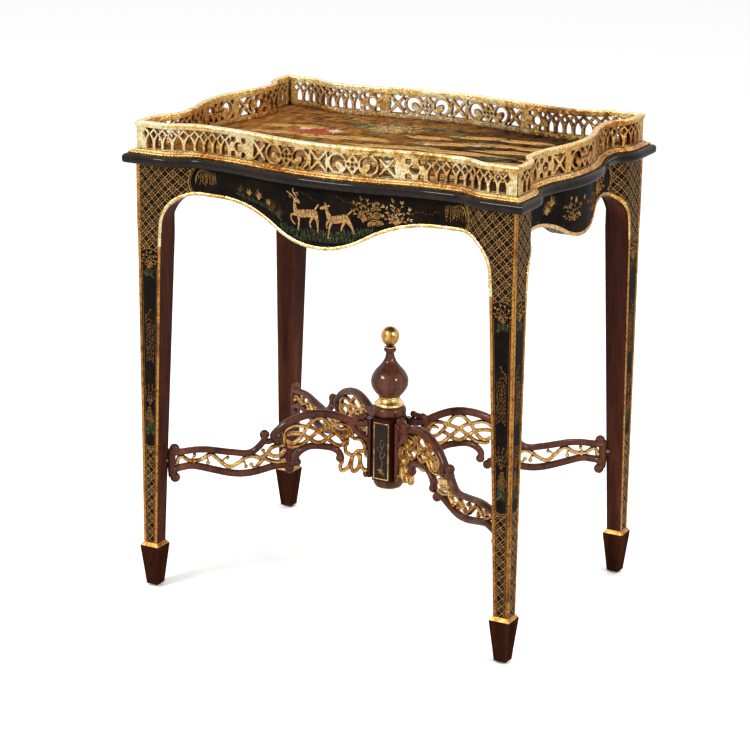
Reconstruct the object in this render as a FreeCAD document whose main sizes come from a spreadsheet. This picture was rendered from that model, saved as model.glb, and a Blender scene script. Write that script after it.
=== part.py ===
"""Serpentine side table with a pierced gilt gallery and a carved cross stretcher.

Millimetres, +Z up. The origin is on the floor under the middle of the table, +X runs along the
long side and the front looks towards -Y. The legs, aprons, top and gallery all follow one
serpentine plan, and every piece is worked out from the sizes in the sheet.
"""

import FreeCAD, Part
import math
import os

import Sketcher
from FreeCAD import Placement, Rotation, Vector

doc = FreeCAD.newDocument("SideTable")
sheet = doc.addObject("Spreadsheet::Sheet", "Sizes")

SIZES = [
    # Overall
    ("overall_height", 710),
    ("case_length", 599),
    ("case_depth", 425),
    # Serpentine plan, measured from the flat corners
    ("front_dip_place", 200),
    ("front_dip_depth", 19),
    ("front_centre_proud", 4.5),
    ("side_dip_place", 126),
    ("side_dip_depth", 18.5),
    ("side_centre_proud", 2),
    # Top board
    ("board_overhang", 15.5),
    ("board_thickness", 14),
    ("board_round", 4),
    # Gallery
    ("step_height", 6),
    ("step_width", 9),
    ("gallery_height", 32),
    ("gallery_thickness", 7),
    ("rim_height", 8),
    ("rim_proud", 2),
    ("flat_standoff", 0.6),
    ("fret_pitch", 14.3),
    ("fret_end", 22),
    ("front_ring_place", 139),
    ("front_crossing_place", 100),
    ("front_quatrefoil_place", 52),
    ("side_ring_place", 92),
    ("side_crossing_place", 62),
    # Aprons
    ("apron_least_thickness", 12),
    ("apron_end_depth", 108),
    ("apron_toe", 1.5),
    ("front_crest_depth", 41.5),
    ("front_drop_depth", 89),
    ("front_shoulder_radius", 52),
    ("front_crest_run", 100),
    ("front_drop_run", 70),
    ("side_crest_depth", 45.5),
    ("side_drop_depth", 75),
    ("side_shoulder_radius", 58),
    ("side_crest_run", 64),
    ("side_drop_run", 50),
    ("tenon_thickness", 8),
    ("tenon_height", 56),
    ("tenon_reach", 15),
    ("tenon_set", 5),
    ("joint_clearance", 0.1),
    # Legs and feet
    ("leg_top_width", 38),
    ("leg_ankle_width", 22.5),
    ("leg_ankle_inset", 3.6),
    ("leg_ankle_splay", 1.3),
    ("leg_block_height", 108),
    ("foot_neck_width", 24),
    ("foot_shoulder_width", 32),
    ("foot_toe_width", 19),
    ("foot_top_height", 71),
    ("foot_chamfer_height", 6),
    ("foot_pin_width", 10),
    ("foot_pin_reach", 16),
    ("glide_height", 3),
    ("glide_width", 11),
    ("glide_nail_width", 2.5),
    ("glide_nail_reach", 14),
    # Corner blocks and the screws that hold the top
    ("block_reach", 44),
    ("block_height", 36),
    ("screw_set", 8.8),
    ("screw_width", 4),
    ("screw_head_width", 8),
    ("screw_head_height", 3),
    ("screw_bite", 9),
    # Stretcher post
    ("post_panel_reach", 25),
    ("post_arm_reach", 26),
    ("post_foot_height", 162),
    ("post_shoulder_height", 260),
    ("post_cap_drop", 13),
    ("post_cap_width", 37.6),
    ("post_cap_waist_drop", 8),
    ("post_cap_waist_width", 46),
    ("panel_border", 3),
    ("panel_sink", 0.8),
    ("torus_height", 17),
    ("torus_width", 51),
    ("torus_seat_width", 46),
    # Finial
    ("bell_height", 11),
    ("bell_width", 46),
    ("waist_height", 3),
    ("waist_width", 32),
    ("onion_height", 65),
    ("onion_width", 56.2),
    ("neck_width", 12.5),
    ("collar_height", 6),
    ("collar_width", 18.8),
    ("collar_gap", 7),
    ("ball_width", 27),
    ("ball_height", 30),
    ("ball_seat_width", 10),
    ("spigot_width", 12),
    ("spigot_reach", 22),
    # Stretcher arms
    ("arm_foot_height", 160),
    ("arm_arch_height", 110),
    ("arm_thickness", 12.5),
    ("arm_stile_width", 7.7),
    ("arm_stile_height", 95),
    ("arm_tongue_thickness", 6),
    ("arm_tongue_height", 60),
    ("arm_tongue_reach", 8),
    ("dowel_width", 6),
    ("dowel_reach", 11),
    ("dowel_height", 196),
    # How far every cutter runs past what it cuts
    ("overrun", 2),
]

for row, (alias, millimetres) in enumerate(SIZES, start=1):
    sheet.set("A%d" % row, alias)
    sheet.set("B%d" % row, str(millimetres))
    sheet.setAlias("B%d" % row, alias)
doc.recompute()


class Dim:
    """A size, kept as its value and as the expression that ties a feature to the sheet."""

    def __init__(self, value, text):
        self.value = float(value)
        self.text = text

    def __add__(self, other):
        return Dim(self.value + value_of(other), "(%s + %s)" % (self.text, text_of(other)))

    def __sub__(self, other):
        return Dim(self.value - value_of(other), "(%s - %s)" % (self.text, text_of(other)))

    def __mul__(self, other):
        return Dim(self.value * value_of(other), "(%s * %s)" % (self.text, text_of(other)))

    def __truediv__(self, other):
        return Dim(self.value / value_of(other), "(%s / %s)" % (self.text, text_of(other)))

    def __neg__(self):
        return Dim(-self.value, "(0 - %s)" % self.text)


def value_of(thing):
    return thing.value if isinstance(thing, Dim) else float(thing)


def text_of(thing):
    return thing.text if isinstance(thing, Dim) else repr(float(thing))


def square_root(dim):
    return Dim(math.sqrt(dim.value), "sqrt(%s)" % dim.text)


def size(alias):
    return Dim(getattr(sheet, alias), "Sizes.%s" % alias)


NOTHING = Dim(0, "0")
nodes = []


def bind(feature, prop, dim):
    feature.setExpression(prop, dim.text)


def bind_place(feature, corner, turned=0.0):
    """Tie a feature's origin to three sizes and turn it about the upright axis."""
    feature.Placement = Placement(Vector(), Rotation(Vector(0, 0, 1), turned))
    for axis, dim in zip("xyz", corner):
        bind(feature, "Placement.Base." + axis, dim)


# Bodies, sketches and outlines


def new_body(label):
    body = doc.addObject("PartDesign::Body", "Body_" + label)
    body.Label = label
    return body


def new_sketch(body, name, role, rise=None):
    """A sketch on one of the body's own planes, lifted along that plane's normal."""
    sketch = body.newObject("Sketcher::SketchObject", name)
    plane = [item for item in body.Origin.OriginFeatures if item.Role == role][0]
    sketch.AttachmentSupport = [(plane, "")]
    sketch.MapMode = "FlatFace"
    if rise is not None:
        bind(sketch, "AttachmentOffset.Base.z", rise)
    return sketch


def pin(sketch, element, end, place):
    """Fix one end of an element at a place given by two sizes."""
    for kind, dim in (("DistanceX", place[0]), ("DistanceY", place[1])):
        index = sketch.addConstraint(Sketcher.Constraint(kind, -1, 1, element, end, dim.value))
        sketch.setExpression("Constraints[%d]" % index, dim.text)


def arc_between(start, end, radius, turn):
    """The short arc from start to end; turn is 1 where it bends left and -1 where it bends right."""
    chord = end - start
    left = Vector(-chord.y, chord.x, 0).normalize()
    away = math.sqrt(max(radius**2 - (chord.Length / 2) ** 2, 0))
    centre = start + chord * 0.5 + left * (away * turn)
    first, last = (start, end) if turn > 0 else (end, start)
    begin = math.atan2(first.y - centre.y, first.x - centre.x)
    finish = math.atan2(last.y - centre.y, last.x - centre.x)
    circle = Part.Circle(centre, Vector(0, 0, 1), radius)
    return Part.ArcOfCircle(circle, begin, finish)


def draw_outline(sketch, corners, segments):
    """Close an outline through the corners.

    A segment is None for a straight line, or (radius, turn) for an arc to the next corner.
    """
    places = [Vector(x.value, y.value, 0) for x, y in corners]
    count = len(places)
    heads = []
    for i in range(count):
        start, end = places[i], places[(i + 1) % count]
        if segments[i] is None:
            element = sketch.addGeometry(Part.LineSegment(start, end), False)
            head, tail = 1, 2
        else:
            radius, turn = segments[i]
            element = sketch.addGeometry(arc_between(start, end, radius.value, turn), False)
            head, tail = (1, 2) if turn > 0 else (2, 1)
            index = sketch.addConstraint(Sketcher.Constraint("Radius", element, radius.value))
            sketch.setExpression("Constraints[%d]" % index, radius.text)
        heads.append((element, head, tail))
    for i in range(count):
        element, head, _ = heads[i]
        before, _, tail = heads[i - 1]
        sketch.addConstraint(Sketcher.Constraint("Coincident", before, tail, element, head))
        pin(sketch, element, head, corners[i])


def pad(body, sketch, length, name="Pad"):
    feature = body.newObject("PartDesign::Pad", name)
    feature.Profile = sketch
    bind(feature, "Length", length)
    return feature


def pocket_through(body, sketch, name="Pocket"):
    feature = body.newObject("PartDesign::Pocket", name)
    feature.Profile = sketch
    feature.Type = "ThroughAll"
    feature.Midplane = True
    return feature


def box_feature(body, kind, name, corner, spans, turned=0.0):
    """An additive or subtractive box with its lowest corner and its three spans bound."""
    feature = body.newObject("PartDesign::%sBox" % kind, name)
    for prop, span in zip(("Length", "Width", "Height"), spans):
        bind(feature, prop, span)
    bind_place(feature, corner, turned)
    return feature


# Levels

board_top = size("overall_height") - size("rim_height") - size("gallery_height") - size("step_height")
board_bottom = board_top - size("board_thickness")
step_top = board_top + size("step_height")
rim_bottom = step_top + size("gallery_height")
apron_toe_level = board_bottom - size("apron_end_depth")
knee_level = board_bottom - size("leg_block_height")

# The serpentine plan. A side is drawn in p, along it, and q, outwards from the table's middle.

half_length = size("case_length") / 2
half_depth = size("case_depth") / 2
overrun = size("overrun")

SIDES = {
    "front": {"corner": half_length, "line": half_depth, "kind": "front", "map": lambda p, q: (p, -q)},
    "right": {"corner": half_depth, "line": half_length, "kind": "side", "map": lambda p, q: (q, p)},
    "back": {"corner": half_length, "line": half_depth, "kind": "front", "map": lambda p, q: (-p, q)},
    "left": {"corner": half_depth, "line": half_length, "kind": "side", "map": lambda p, q: (-q, -p)},
}

# Each corner's signs along X and Y.
CORNERS = {
    "front_left": (-1, -1),
    "front_right": (1, -1),
    "back_right": (1, 1),
    "back_left": (-1, 1),
}


def swing(run, rise):
    """Radius of an arc that leaves level and climbs the rise over the run."""
    return (run * run + rise * rise) / (rise * 2)


def side_path(name, offset, to_corner):
    """Corners and segments of one side, moved outwards by offset.

    The side is flat over the legs, dips beside them and swells in the middle, in tangent arcs.
    """
    side = SIDES[name]
    kind = side["kind"]
    corner, line = side["corner"], side["line"]
    flat = corner - size("leg_top_width")
    dip = size(kind + "_dip_place")
    low = line - size(kind + "_dip_depth")
    high = line + size(kind + "_centre_proud")
    wide_run, wide_rise = dip / 2, (high - low) / 2
    wide = swing(wide_run, wide_rise)
    tight_run, tight_rise = (flat - dip) / 2, (line - low) / 2
    tight = swing(tight_run, tight_rise)
    wide_turn_p = wide_run + offset * wide_run / wide
    wide_turn_q = (high + low) / 2 + offset * (wide - wide_rise) / wide
    tight_turn_p = dip + tight_run - offset * tight_run / tight
    tight_turn_q = (line + low) / 2 + offset * (tight - tight_rise) / tight
    half = [
        (flat, line + offset),
        (tight_turn_p, tight_turn_q),
        (dip, low + offset),
        (wide_turn_p, wide_turn_q),
    ]
    points = [(-p, q) for p, q in half] + [(p, q) for p, q in reversed(half)]
    half_parts = [(tight + offset, 1), (tight - offset, -1), (wide - offset, -1)]
    parts = half_parts + [(wide + offset, 1)] + list(reversed(half_parts))
    if to_corner:
        points = [(-(corner + offset), line + offset)] + points + [(corner + offset, line + offset)]
        parts = [None] + parts + [None]
    return [side["map"](p, q) for p, q in points], parts


def plan_outline(offset):
    """The whole serpentine outline, anticlockwise from the front left corner."""
    corners, segments = [], []
    for name in SIDES:
        points, parts = side_path(name, offset, True)
        corners += points[:-1]
        segments += parts
    return corners, segments


def flats(name, offset):
    """The same path in short flats, none standing further off its arc than the size allows."""
    points, parts = side_path(name, offset, True)
    base_points, base_parts = side_path(name, NOTHING, True)
    places = [Vector(x.value, y.value, 0) for x, y in points]
    bases = [Vector(x.value, y.value, 0) for x, y in base_points]
    corners = []
    for i, part in enumerate(parts):
        if part is None:
            corners.append(places[i])
            continue
        base_radius, turn = base_parts[i][0].value, part[1]
        swept = 2 * math.asin((bases[i + 1] - bases[i]).Length / 2 / base_radius)
        least = 2 * math.acos(1 - sheet.flat_standoff / base_radius)
        count = math.ceil(swept / least)
        arc = arc_between(places[i], places[i + 1], part[0].value, turn).toShape()
        stops = arc.discretize(count + 1)
        if turn < 0:
            stops.reverse()
        corners += stops[:-1]
    return corners + [places[-1]]


def strip(name, outer, inner, bottom, height):
    """A strip that follows one side between two offsets, mitred at both corners."""
    ring = flats(name, outer) + list(reversed(flats(name, inner)))
    face = Part.Face(Part.makePolygon(ring + ring[:1]))
    face.translate(Vector(0, 0, bottom.value))
    return face.extrude(Vector(0, 0, height.value))


def add_shape(name, label, shape):
    """A piece whose form is worked out here from the sheet's sizes."""
    feature = doc.addObject("Part::Feature", name)
    feature.Label = label
    feature.Shape = shape
    return feature


# Screws that hold the top, one through each corner block. Shanks and bores are eight-sided.

OCTAGON_SIDES = 8


def prism(kind, name, radius, height, body=None):
    """An eight-sided upright prism, in a body or by itself."""
    if body is None:
        feature = doc.addObject("Part::Prism", name)
    else:
        feature = body.newObject("PartDesign::%sPrism" % kind, name)
    feature.Polygon = OCTAGON_SIDES
    bind(feature, "Circumradius", radius)
    bind(feature, "Height", height)
    return feature


screw_x = half_length - size("leg_top_width") - size("screw_set")
screw_y = half_depth - size("leg_top_width") - size("screw_set")
block_bottom = board_bottom - size("block_height")
screw_bore = size("screw_width") / 2 + size("joint_clearance")


def signed(sign, dim):
    return dim if sign > 0 else -dim


def make_top_board():
    """Lacquered board on the frame; its edge is rounded and follows the serpentine."""
    body = new_body("top_board")
    sketch = new_sketch(body, "BoardPlan", "XY_Plane", board_bottom)
    draw_outline(sketch, *plan_outline(size("board_overhang")))
    slab = pad(body, sketch, size("board_thickness"))
    doc.recompute()
    slab_edges = []
    for index, edge in enumerate(slab.Shape.Edges, start=1):
        levels = [vertex.Z for vertex in edge.Vertexes]
        if abs(min(levels) - board_top.value) < overrun.value:
            slab_edges.append("Edge%d" % index)
    edge_round = body.newObject("PartDesign::Chamfer", "EdgeRound")
    edge_round.Base = (slab, slab_edges)
    bind(edge_round, "Size", size("board_round"))
    for label, (sx, sy) in CORNERS.items():
        bore = prism("Subtractive", "Pilot_" + label, screw_bore, size("screw_bite") + overrun, body)
        bind_place(bore, (signed(sx, screw_x), signed(sy, screw_y), board_bottom - overrun / 2))
    nodes.append(body)


def make_step_mouldings():
    """Gilt step planted on the board along the foot of the gallery, mitred at the corners."""
    for name in SIDES:
        solid = strip(name, size("step_width"), NOTHING, board_top, size("step_height"))
        nodes.append(add_shape("Step_" + name, "step_moulding_" + name, solid))


# The fret. Motifs are drawn in shares of the fret's height: along the side from the motif's own
# centre line, and up from the top of the step.

LANCET_SHARES = [(-0.11, 0.1), (0.11, 0.1), (0.11, 0.42), (0, 0.6), (-0.11, 0.42)]
CROSSING_SHARES = [
    [(-0.34, 0.9), (0, 0.62), (0.34, 0.9)],
    [(-0.34, 0.1), (0.34, 0.1), (0, 0.38)],
    [(-0.13, 0.5), (-0.46, 0.82), (-0.46, 0.18)],
    [(0.13, 0.5), (0.46, 0.18), (0.46, 0.82)],
]
VOLUTE_SHARES = [(0.38, 0.86), (0.56, 0.52), (0.38, 0.14), (0.7, 0.3), (0.7, 0.7)]
FOIL_RADIUS_SHARE = 0.09
FOIL_SPREAD_SHARE = 0.21
FOIL_SIDES = 6
RING_RADIUS_SHARE = 0.2
RING_SIDES = 8
MIDDLE_SHARE = 0.5
LANCET_COUNTS = {"front": 9, "side": 6}


def eye_shares(centre_along, centre_up, radius, sides):
    """A round hole, cut in flats."""
    turns = [math.tau * (step + MIDDLE_SHARE) / sides for step in range(sides)]
    return [(centre_along + radius * math.cos(turn), centre_up + radius * math.sin(turn)) for turn in turns]


def quatrefoil_shares():
    """Four round leaves about a round eye, between two volutes."""
    spread = FOIL_SPREAD_SHARE
    eyes = [(0, 0), (spread, 0), (-spread, 0), (0, spread), (0, -spread)]
    shapes = [eye_shares(u, MIDDLE_SHARE + v, FOIL_RADIUS_SHARE, FOIL_SIDES) for u, v in eyes]
    mirrored = [(-u, v) for u, v in VOLUTE_SHARES]
    return shapes + [VOLUTE_SHARES, mirrored]


def fret_shapes(kind, half_run):
    """Every opening of one side, as (centre, shares), from the middle out to both ends."""
    ring = eye_shares(0, MIDDLE_SHARE, RING_RADIUS_SHARE, RING_SIDES)
    end = half_run - sheet.fret_end
    shapes = []
    for side in (-1, 1):
        for step in range(LANCET_COUNTS[kind]):
            shapes.append((side * (end - step * sheet.fret_pitch), LANCET_SHARES))
        shapes.append((side * getattr(sheet, kind + "_ring_place"), ring))
        crossing = side * getattr(sheet, kind + "_crossing_place")
        shapes += [(crossing, shares) for shares in CROSSING_SHARES]
    if kind == "front":
        for side in (-1, 1):
            place = side * sheet.front_quatrefoil_place
            shapes += [(place, shares) for shares in quatrefoil_shares()]
        shapes += [(0, shares) for shares in CROSSING_SHARES]
    else:
        shapes += [(0, shares) for shares in quatrefoil_shares()]
    return shapes


def fret_prisms(name):
    """One prism for each opening of the fret, right through the side that it pierces."""
    side = SIDES[name]
    kind = side["kind"]
    scale = sheet.gallery_height
    near = side["line"].value - getattr(sheet, kind + "_dip_depth") - sheet.gallery_thickness - sheet.overrun
    far = side["line"].value + getattr(sheet, kind + "_centre_proud") + sheet.overrun
    prisms = []
    for centre, shares in fret_shapes(kind, side["corner"].value):
        ring = []
        for along, up in shares:
            x, y = [dim.value for dim in side["map"](Dim(centre + along * scale, ""), Dim(near, ""))]
            ring.append(Vector(x, y, step_top.value + up * scale))
        through = side["map"](NOTHING, Dim(far - near, ""))
        face = Part.Face(Part.makePolygon(ring + ring[:1]))
        prisms.append(face.extrude(Vector(through[0].value, through[1].value, 0)))
    return Part.makeCompound(prisms)


def make_gallery():
    """Four pierced and gilt gallery panels, each with its rim worked on, mitred at the corners."""
    inner = -size("gallery_thickness")
    for name in SIDES:
        panel = strip(name, NOTHING, inner, board_top, rim_bottom - board_top)
        rim = strip(name, size("rim_proud"), inner, rim_bottom, size("rim_height"))
        solid = panel.fuse(rim).removeSplitter().cut(fret_prisms(name))
        nodes.append(add_shape("Gallery_" + name, "gallery_" + name, solid))


# Legs stand square at the corners, flush with the aprons. The taper is taken from the inner
# faces: the feet stand a little out along the length and a little in along the depth.

leg_inner_x = half_length - size("leg_top_width")
leg_inner_y = half_depth - size("leg_top_width")
tenon_top = board_bottom - size("tenon_set")
tenon_bottom = tenon_top - size("tenon_height")
clear = size("joint_clearance")
ankle_x = half_length + size("leg_ankle_splay")
ankle_y = half_depth - size("leg_ankle_inset")
foot_x = ankle_x - size("leg_ankle_width") / 2
foot_y = ankle_y - size("leg_ankle_width") / 2


def arris(level):
    """Where a leg's inner arris stands at a level below its knee."""
    share = (level - size("foot_top_height")) / (knee_level - size("foot_top_height"))
    low_x = ankle_x - size("leg_ankle_width")
    low_y = ankle_y - size("leg_ankle_width")
    return low_x + (leg_inner_x - low_x) * share, low_y + (leg_inner_y - low_y) * share


# The stretcher runs along the diagonal through the inner arrises at the dowels' height.

arris_x, arris_y = arris(size("dowel_height"))
diagonal = square_root(arris_x * arris_x + arris_y * arris_y)
along_x = arris_x / diagonal
along_y = arris_y / diagonal
diagonal_angle = math.degrees(math.atan2(arris_y.value, arris_x.value))


def arm_angle(sx, sy):
    """Direction of the arm to a corner, in degrees from +X."""
    turn = diagonal_angle if sx * sy > 0 else -diagonal_angle
    return turn if sx > 0 else turn + 180.0


def corner_span(sign, low, span):
    """The lower edge of a span that is measured outwards from the middle on either side."""
    return low if sign > 0 else -(low + span)


def square_on(sx, sy, outer_x, outer_y, width):
    """Low and high edges along X, then along Y, of a square given by its outer corner."""
    low_x = corner_span(sx, outer_x - width, width)
    low_y = corner_span(sy, outer_y - width, width)
    return low_x, low_x + width, low_y, low_y + width


def taper(body, name, low_level, low_square, high_level, high_square):
    """A four-sided taper between two level squares."""
    wedge = body.newObject("PartDesign::AdditiveWedge", name)
    wedge.Placement = Placement(Vector(), Rotation(Vector(1, 0, 0), 90))
    places = {"Ymin": low_level, "Ymax": high_level}
    for prefix, square in (("", low_square), ("2", high_square)):
        x_low, x_high, y_low, y_high = square
        places["X%smin" % prefix], places["X%smax" % prefix] = x_low, x_high
        places["Z%smin" % prefix], places["Z%smax" % prefix] = -y_high, -y_low
    for prop, dim in places.items():
        setattr(wedge, prop, dim.value)
    for prop, dim in places.items():
        bind(wedge, prop, dim)


def dowel_bore(body, sx, sy):
    """A bore into the inner arris along the diagonal."""
    bore = prism("Subtractive", "DowelBore", size("dowel_width") / 2 + clear, size("dowel_reach") * 2, body)
    lay_along_diagonal(bore, sx, sy, size("dowel_reach"))
    return bore


def lay_along_diagonal(feature, sx, sy, back):
    """Lay an upright feature down along an arm, starting back from the arris."""
    turn = Rotation(Vector(0, 0, 1), arm_angle(sx, sy)).multiply(Rotation(Vector(0, 1, 0), 90))
    feature.Placement = Placement(Vector(), turn)
    start = diagonal - back
    bind(feature, "Placement.Base.x", signed(sx, start * along_x))
    bind(feature, "Placement.Base.y", signed(sy, start * along_y))
    bind(feature, "Placement.Base.z", size("dowel_height"))


def make_leg(label, sx, sy):
    body = new_body("leg_" + label)
    width = size("leg_top_width")
    knee = square_on(sx, sy, half_length, half_depth, width)
    ankle = square_on(sx, sy, ankle_x, ankle_y, size("leg_ankle_width"))
    block = (width, width, board_bottom - knee_level)
    box_feature(body, "Additive", "Block", (knee[0], knee[2], knee_level), block)
    taper(body, "Shaft", size("foot_top_height"), ankle, knee_level, knee)
    stub = size("foot_pin_width")
    box_feature(
        body,
        "Additive",
        "FootPin",
        (
            corner_span(sx, foot_x - stub / 2, stub),
            corner_span(sy, foot_y - stub / 2, stub),
            size("foot_top_height") - size("foot_pin_reach"),
        ),
        (stub, stub, size("foot_pin_reach") + overrun),
    )
    depth = size("tenon_reach") + clear + overrun
    thick = size("tenon_thickness") + clear * 2
    tall = size("tenon_height") + clear * 2
    cheek_y = half_depth - size("tenon_set") - size("tenon_thickness") - clear
    cheek_x = half_length - size("tenon_set") - size("tenon_thickness") - clear
    box_feature(
        body,
        "Subtractive",
        "FrontMortise",
        (
            corner_span(sx, leg_inner_x - overrun, depth),
            corner_span(sy, cheek_y, thick),
            tenon_bottom - clear,
        ),
        (depth, thick, tall),
    )
    box_feature(
        body,
        "Subtractive",
        "SideMortise",
        (
            corner_span(sx, cheek_x, thick),
            corner_span(sy, leg_inner_y - overrun, depth),
            tenon_bottom - clear,
        ),
        (thick, depth, tall),
    )
    dowel_bore(body, sx, sy)
    nodes.append(body)
    return body


def make_foot(label, sx, sy):
    """Spade foot, socketed for the leg's pin and bored below for the glide's nail."""
    body = new_body("spade_foot_" + label)
    neck, shoulder, toe = [
        square_on(sx, sy, foot_x + width / 2, foot_y + width / 2, width)
        for width in (size("foot_neck_width"), size("foot_shoulder_width"), size("foot_toe_width"))
    ]
    shoulder_level = size("foot_top_height") - size("foot_chamfer_height")
    taper(body, "Spade", size("glide_height"), toe, shoulder_level, shoulder)
    taper(body, "Chamfer", shoulder_level, shoulder, size("foot_top_height"), neck)
    for name, width, level, reach in (
        (
            "PinSocket",
            size("foot_pin_width") + clear * 2,
            size("foot_top_height") - size("foot_pin_reach") - clear,
            size("foot_pin_reach") + overrun,
        ),
        (
            "NailHole",
            size("glide_nail_width") + clear * 2,
            size("glide_height") - overrun,
            size("glide_nail_reach") + clear + overrun,
        ),
    ):
        corner_x = corner_span(sx, foot_x - width / 2, width)
        corner_y = corner_span(sy, foot_y - width / 2, width)
        box_feature(body, "Subtractive", name, (corner_x, corner_y, level), (width, width, reach))
    nodes.append(body)


def fuse(name, base, tool):
    feature = doc.addObject("Part::Fuse", name)
    feature.Base = base
    feature.Tool = tool
    return feature


def group(label, members):
    """Several like pieces that share one node as separate solids."""
    feature = doc.addObject("Part::Compound", "Group_" + label)
    feature.Label = label
    feature.Links = members
    nodes.append(feature)


GLIDE_SIDES = 16


def make_glide(label, sx, sy):
    """Pale plastic glide under a foot, with the nail that holds it."""
    disc = doc.addObject("Part::Prism", "GlideDisc_" + label)
    disc.Polygon = GLIDE_SIDES
    bind(disc, "Circumradius", size("glide_width") / 2)
    bind(disc, "Height", size("glide_height"))
    bind_place(disc, (signed(sx, foot_x), signed(sy, foot_y), NOTHING))
    nail = doc.addObject("Part::Box", "GlideNail_" + label)
    width = size("glide_nail_width")
    for prop, span in zip(("Length", "Width", "Height"), (width, width, size("glide_nail_reach") + overrun)):
        bind(nail, prop, span)
    corner = (corner_span(sx, foot_x - width / 2, width), corner_span(sy, foot_y - width / 2, width))
    bind_place(nail, corner + (size("glide_height") - overrun,))
    return fuse("Glide_" + label, disc, nail)


# Aprons are flat inside and serpentine outside, with an arched and dropped lower edge.


def apron_inner(kind, line):
    return line - size(kind + "_dip_depth") - size("apron_least_thickness")


def apron_arch(kind, flat):
    """What is cut from below, in p along the side and in height."""
    toe = flat - size("apron_toe")
    radius = size(kind + "_shoulder_radius")
    crest = board_bottom - size(kind + "_crest_depth")
    drop = board_bottom - size(kind + "_drop_depth")
    crest_run, drop_run = size(kind + "_crest_run"), size(kind + "_drop_run")
    crest_fall = (crest - drop) * crest_run / (crest_run + drop_run)
    drop_fall = crest - drop - crest_fall
    half = [
        (toe, apron_toe_level - overrun),
        (toe, crest - radius),
        (toe - radius, crest),
        (crest_run + drop_run, crest),
        (drop_run, crest - crest_fall),
    ]
    points = [(-p, level) for p, level in half] + [(p, level) for p, level in reversed(half)]
    half_parts = [None, (radius, -1), None, (swing(crest_run, crest_fall), -1)]
    parts = half_parts + [(swing(drop_run, drop_fall), 1)] + list(reversed(half_parts)) + [None]
    return points, parts


def make_apron(name):
    side = SIDES[name]
    kind, corner, line = side["kind"], side["corner"], side["line"]
    flat = corner - size("leg_top_width")
    body = new_body("apron_" + name)
    plan = new_sketch(body, "Plan", "XY_Plane", apron_toe_level)
    points, parts = side_path(name, NOTHING, False)
    inner = apron_inner(kind, line)
    back = [side["map"](flat, inner), side["map"](-flat, inner)]
    draw_outline(plan, points + back, parts + [None] * 3)
    pad(body, plan, size("apron_end_depth"))
    arch = new_sketch(body, "Arch", "XZ_Plane" if kind == "front" else "YZ_Plane")
    draw_outline(arch, *apron_arch(kind, flat))
    pocket_through(body, arch, "ArchCut")
    cheek = line - size("tenon_set") - size("tenon_thickness")
    reach = size("tenon_reach") + overrun
    for end in (-1, 1):
        p_low = corner_span(end, flat - overrun, reach)
        ends = [side["map"](p_low, cheek), side["map"](p_low + reach, cheek + size("tenon_thickness"))]
        lows = [min(pair, key=value_of) for pair in zip(*ends)]
        spans = (reach, size("tenon_thickness"))
        if kind == "side":
            spans = (size("tenon_thickness"), reach)
        tenon_name = "TenonLow" if end < 0 else "TenonHigh"
        box_feature(body, "Additive", tenon_name, lows + [tenon_bottom], spans + (size("tenon_height"),))
    nodes.append(body)


def make_corner_block(label, sx, sy):
    """Glued block in the angle of two aprons, notched round the leg and bored for a screw."""
    body = new_body("corner_block_" + label)
    inner_y = apron_inner("front", half_depth)
    inner_x = apron_inner("side", half_length)
    reach = size("block_reach")
    outline = [
        (leg_inner_x - reach, inner_y),
        (inner_x, leg_inner_y - reach),
        (inner_x, leg_inner_y),
        (leg_inner_x, leg_inner_y),
        (leg_inner_x, inner_y),
    ]
    corners = [(signed(sx, x), signed(sy, y)) for x, y in outline]
    sketch = new_sketch(body, "Plan", "XY_Plane", block_bottom)
    draw_outline(sketch, corners, [None] * len(corners))
    pad(body, sketch, size("block_height"))
    bore = prism("Subtractive", "ScrewBore", screw_bore, size("block_height") + overrun * 2, body)
    bind_place(bore, (signed(sx, screw_x), signed(sy, screw_y), block_bottom - overrun))
    nodes.append(body)


def make_top_screw(label, sx, sy):
    head_height = size("screw_head_height")
    head = prism("", "ScrewHead_" + label, size("screw_head_width") / 2, head_height)
    shank_height = size("block_height") + size("screw_bite") - clear
    shank = prism("", "ScrewShank_" + label, size("screw_width") / 2, shank_height)
    place = (signed(sx, screw_x), signed(sy, screw_y))
    bind_place(head, place + (block_bottom - head_height,))
    bind_place(shank, place + (block_bottom,))
    return fuse("TopScrew_" + label, head, shank)


# The stretcher's post: lacquered panels face the sides, and plain faces take the arms.


def post_outline():
    """Eight corners, where a panel's plane meets the plane that is square to an arm."""
    panel, arm = size("post_panel_reach"), size("post_arm_reach")
    side_half = (arm - panel * along_x) / along_y
    front_half = (arm - panel * along_y) / along_x
    first = [(panel, side_half), (front_half, panel)]
    left = [(-x, y) for x, y in reversed(first)]
    right_low = [(x, -y) for x, y in reversed(first)]
    return first + left + [(-x, -y) for x, y in first] + right_low, side_half, front_half


def turned(profile):
    """A turned solid in flats about the upright axis, from (radius, level) pairs, bottom to top."""
    turns = [math.tau * step / TURNED_SIDES for step in range(TURNED_SIDES)]
    rings = []
    for radius, level in profile:
        reach, rise = radius.value, level.value
        rings.append([Vector(reach * math.cos(turn), reach * math.sin(turn), rise) for turn in turns])
    faces = [Part.Face(Part.makePolygon(ring + ring[:1])) for ring in (rings[0], rings[-1])]
    for low, high in zip(rings, rings[1:]):
        for i in range(TURNED_SIDES):
            corners = [low[i - 1], low[i], high[i], high[i - 1]]
            faces.append(Part.Face(Part.makePolygon(corners + corners[:1])))
    return Part.makeSolid(Part.makeShell(faces))


TURNED_SIDES = 20


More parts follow.
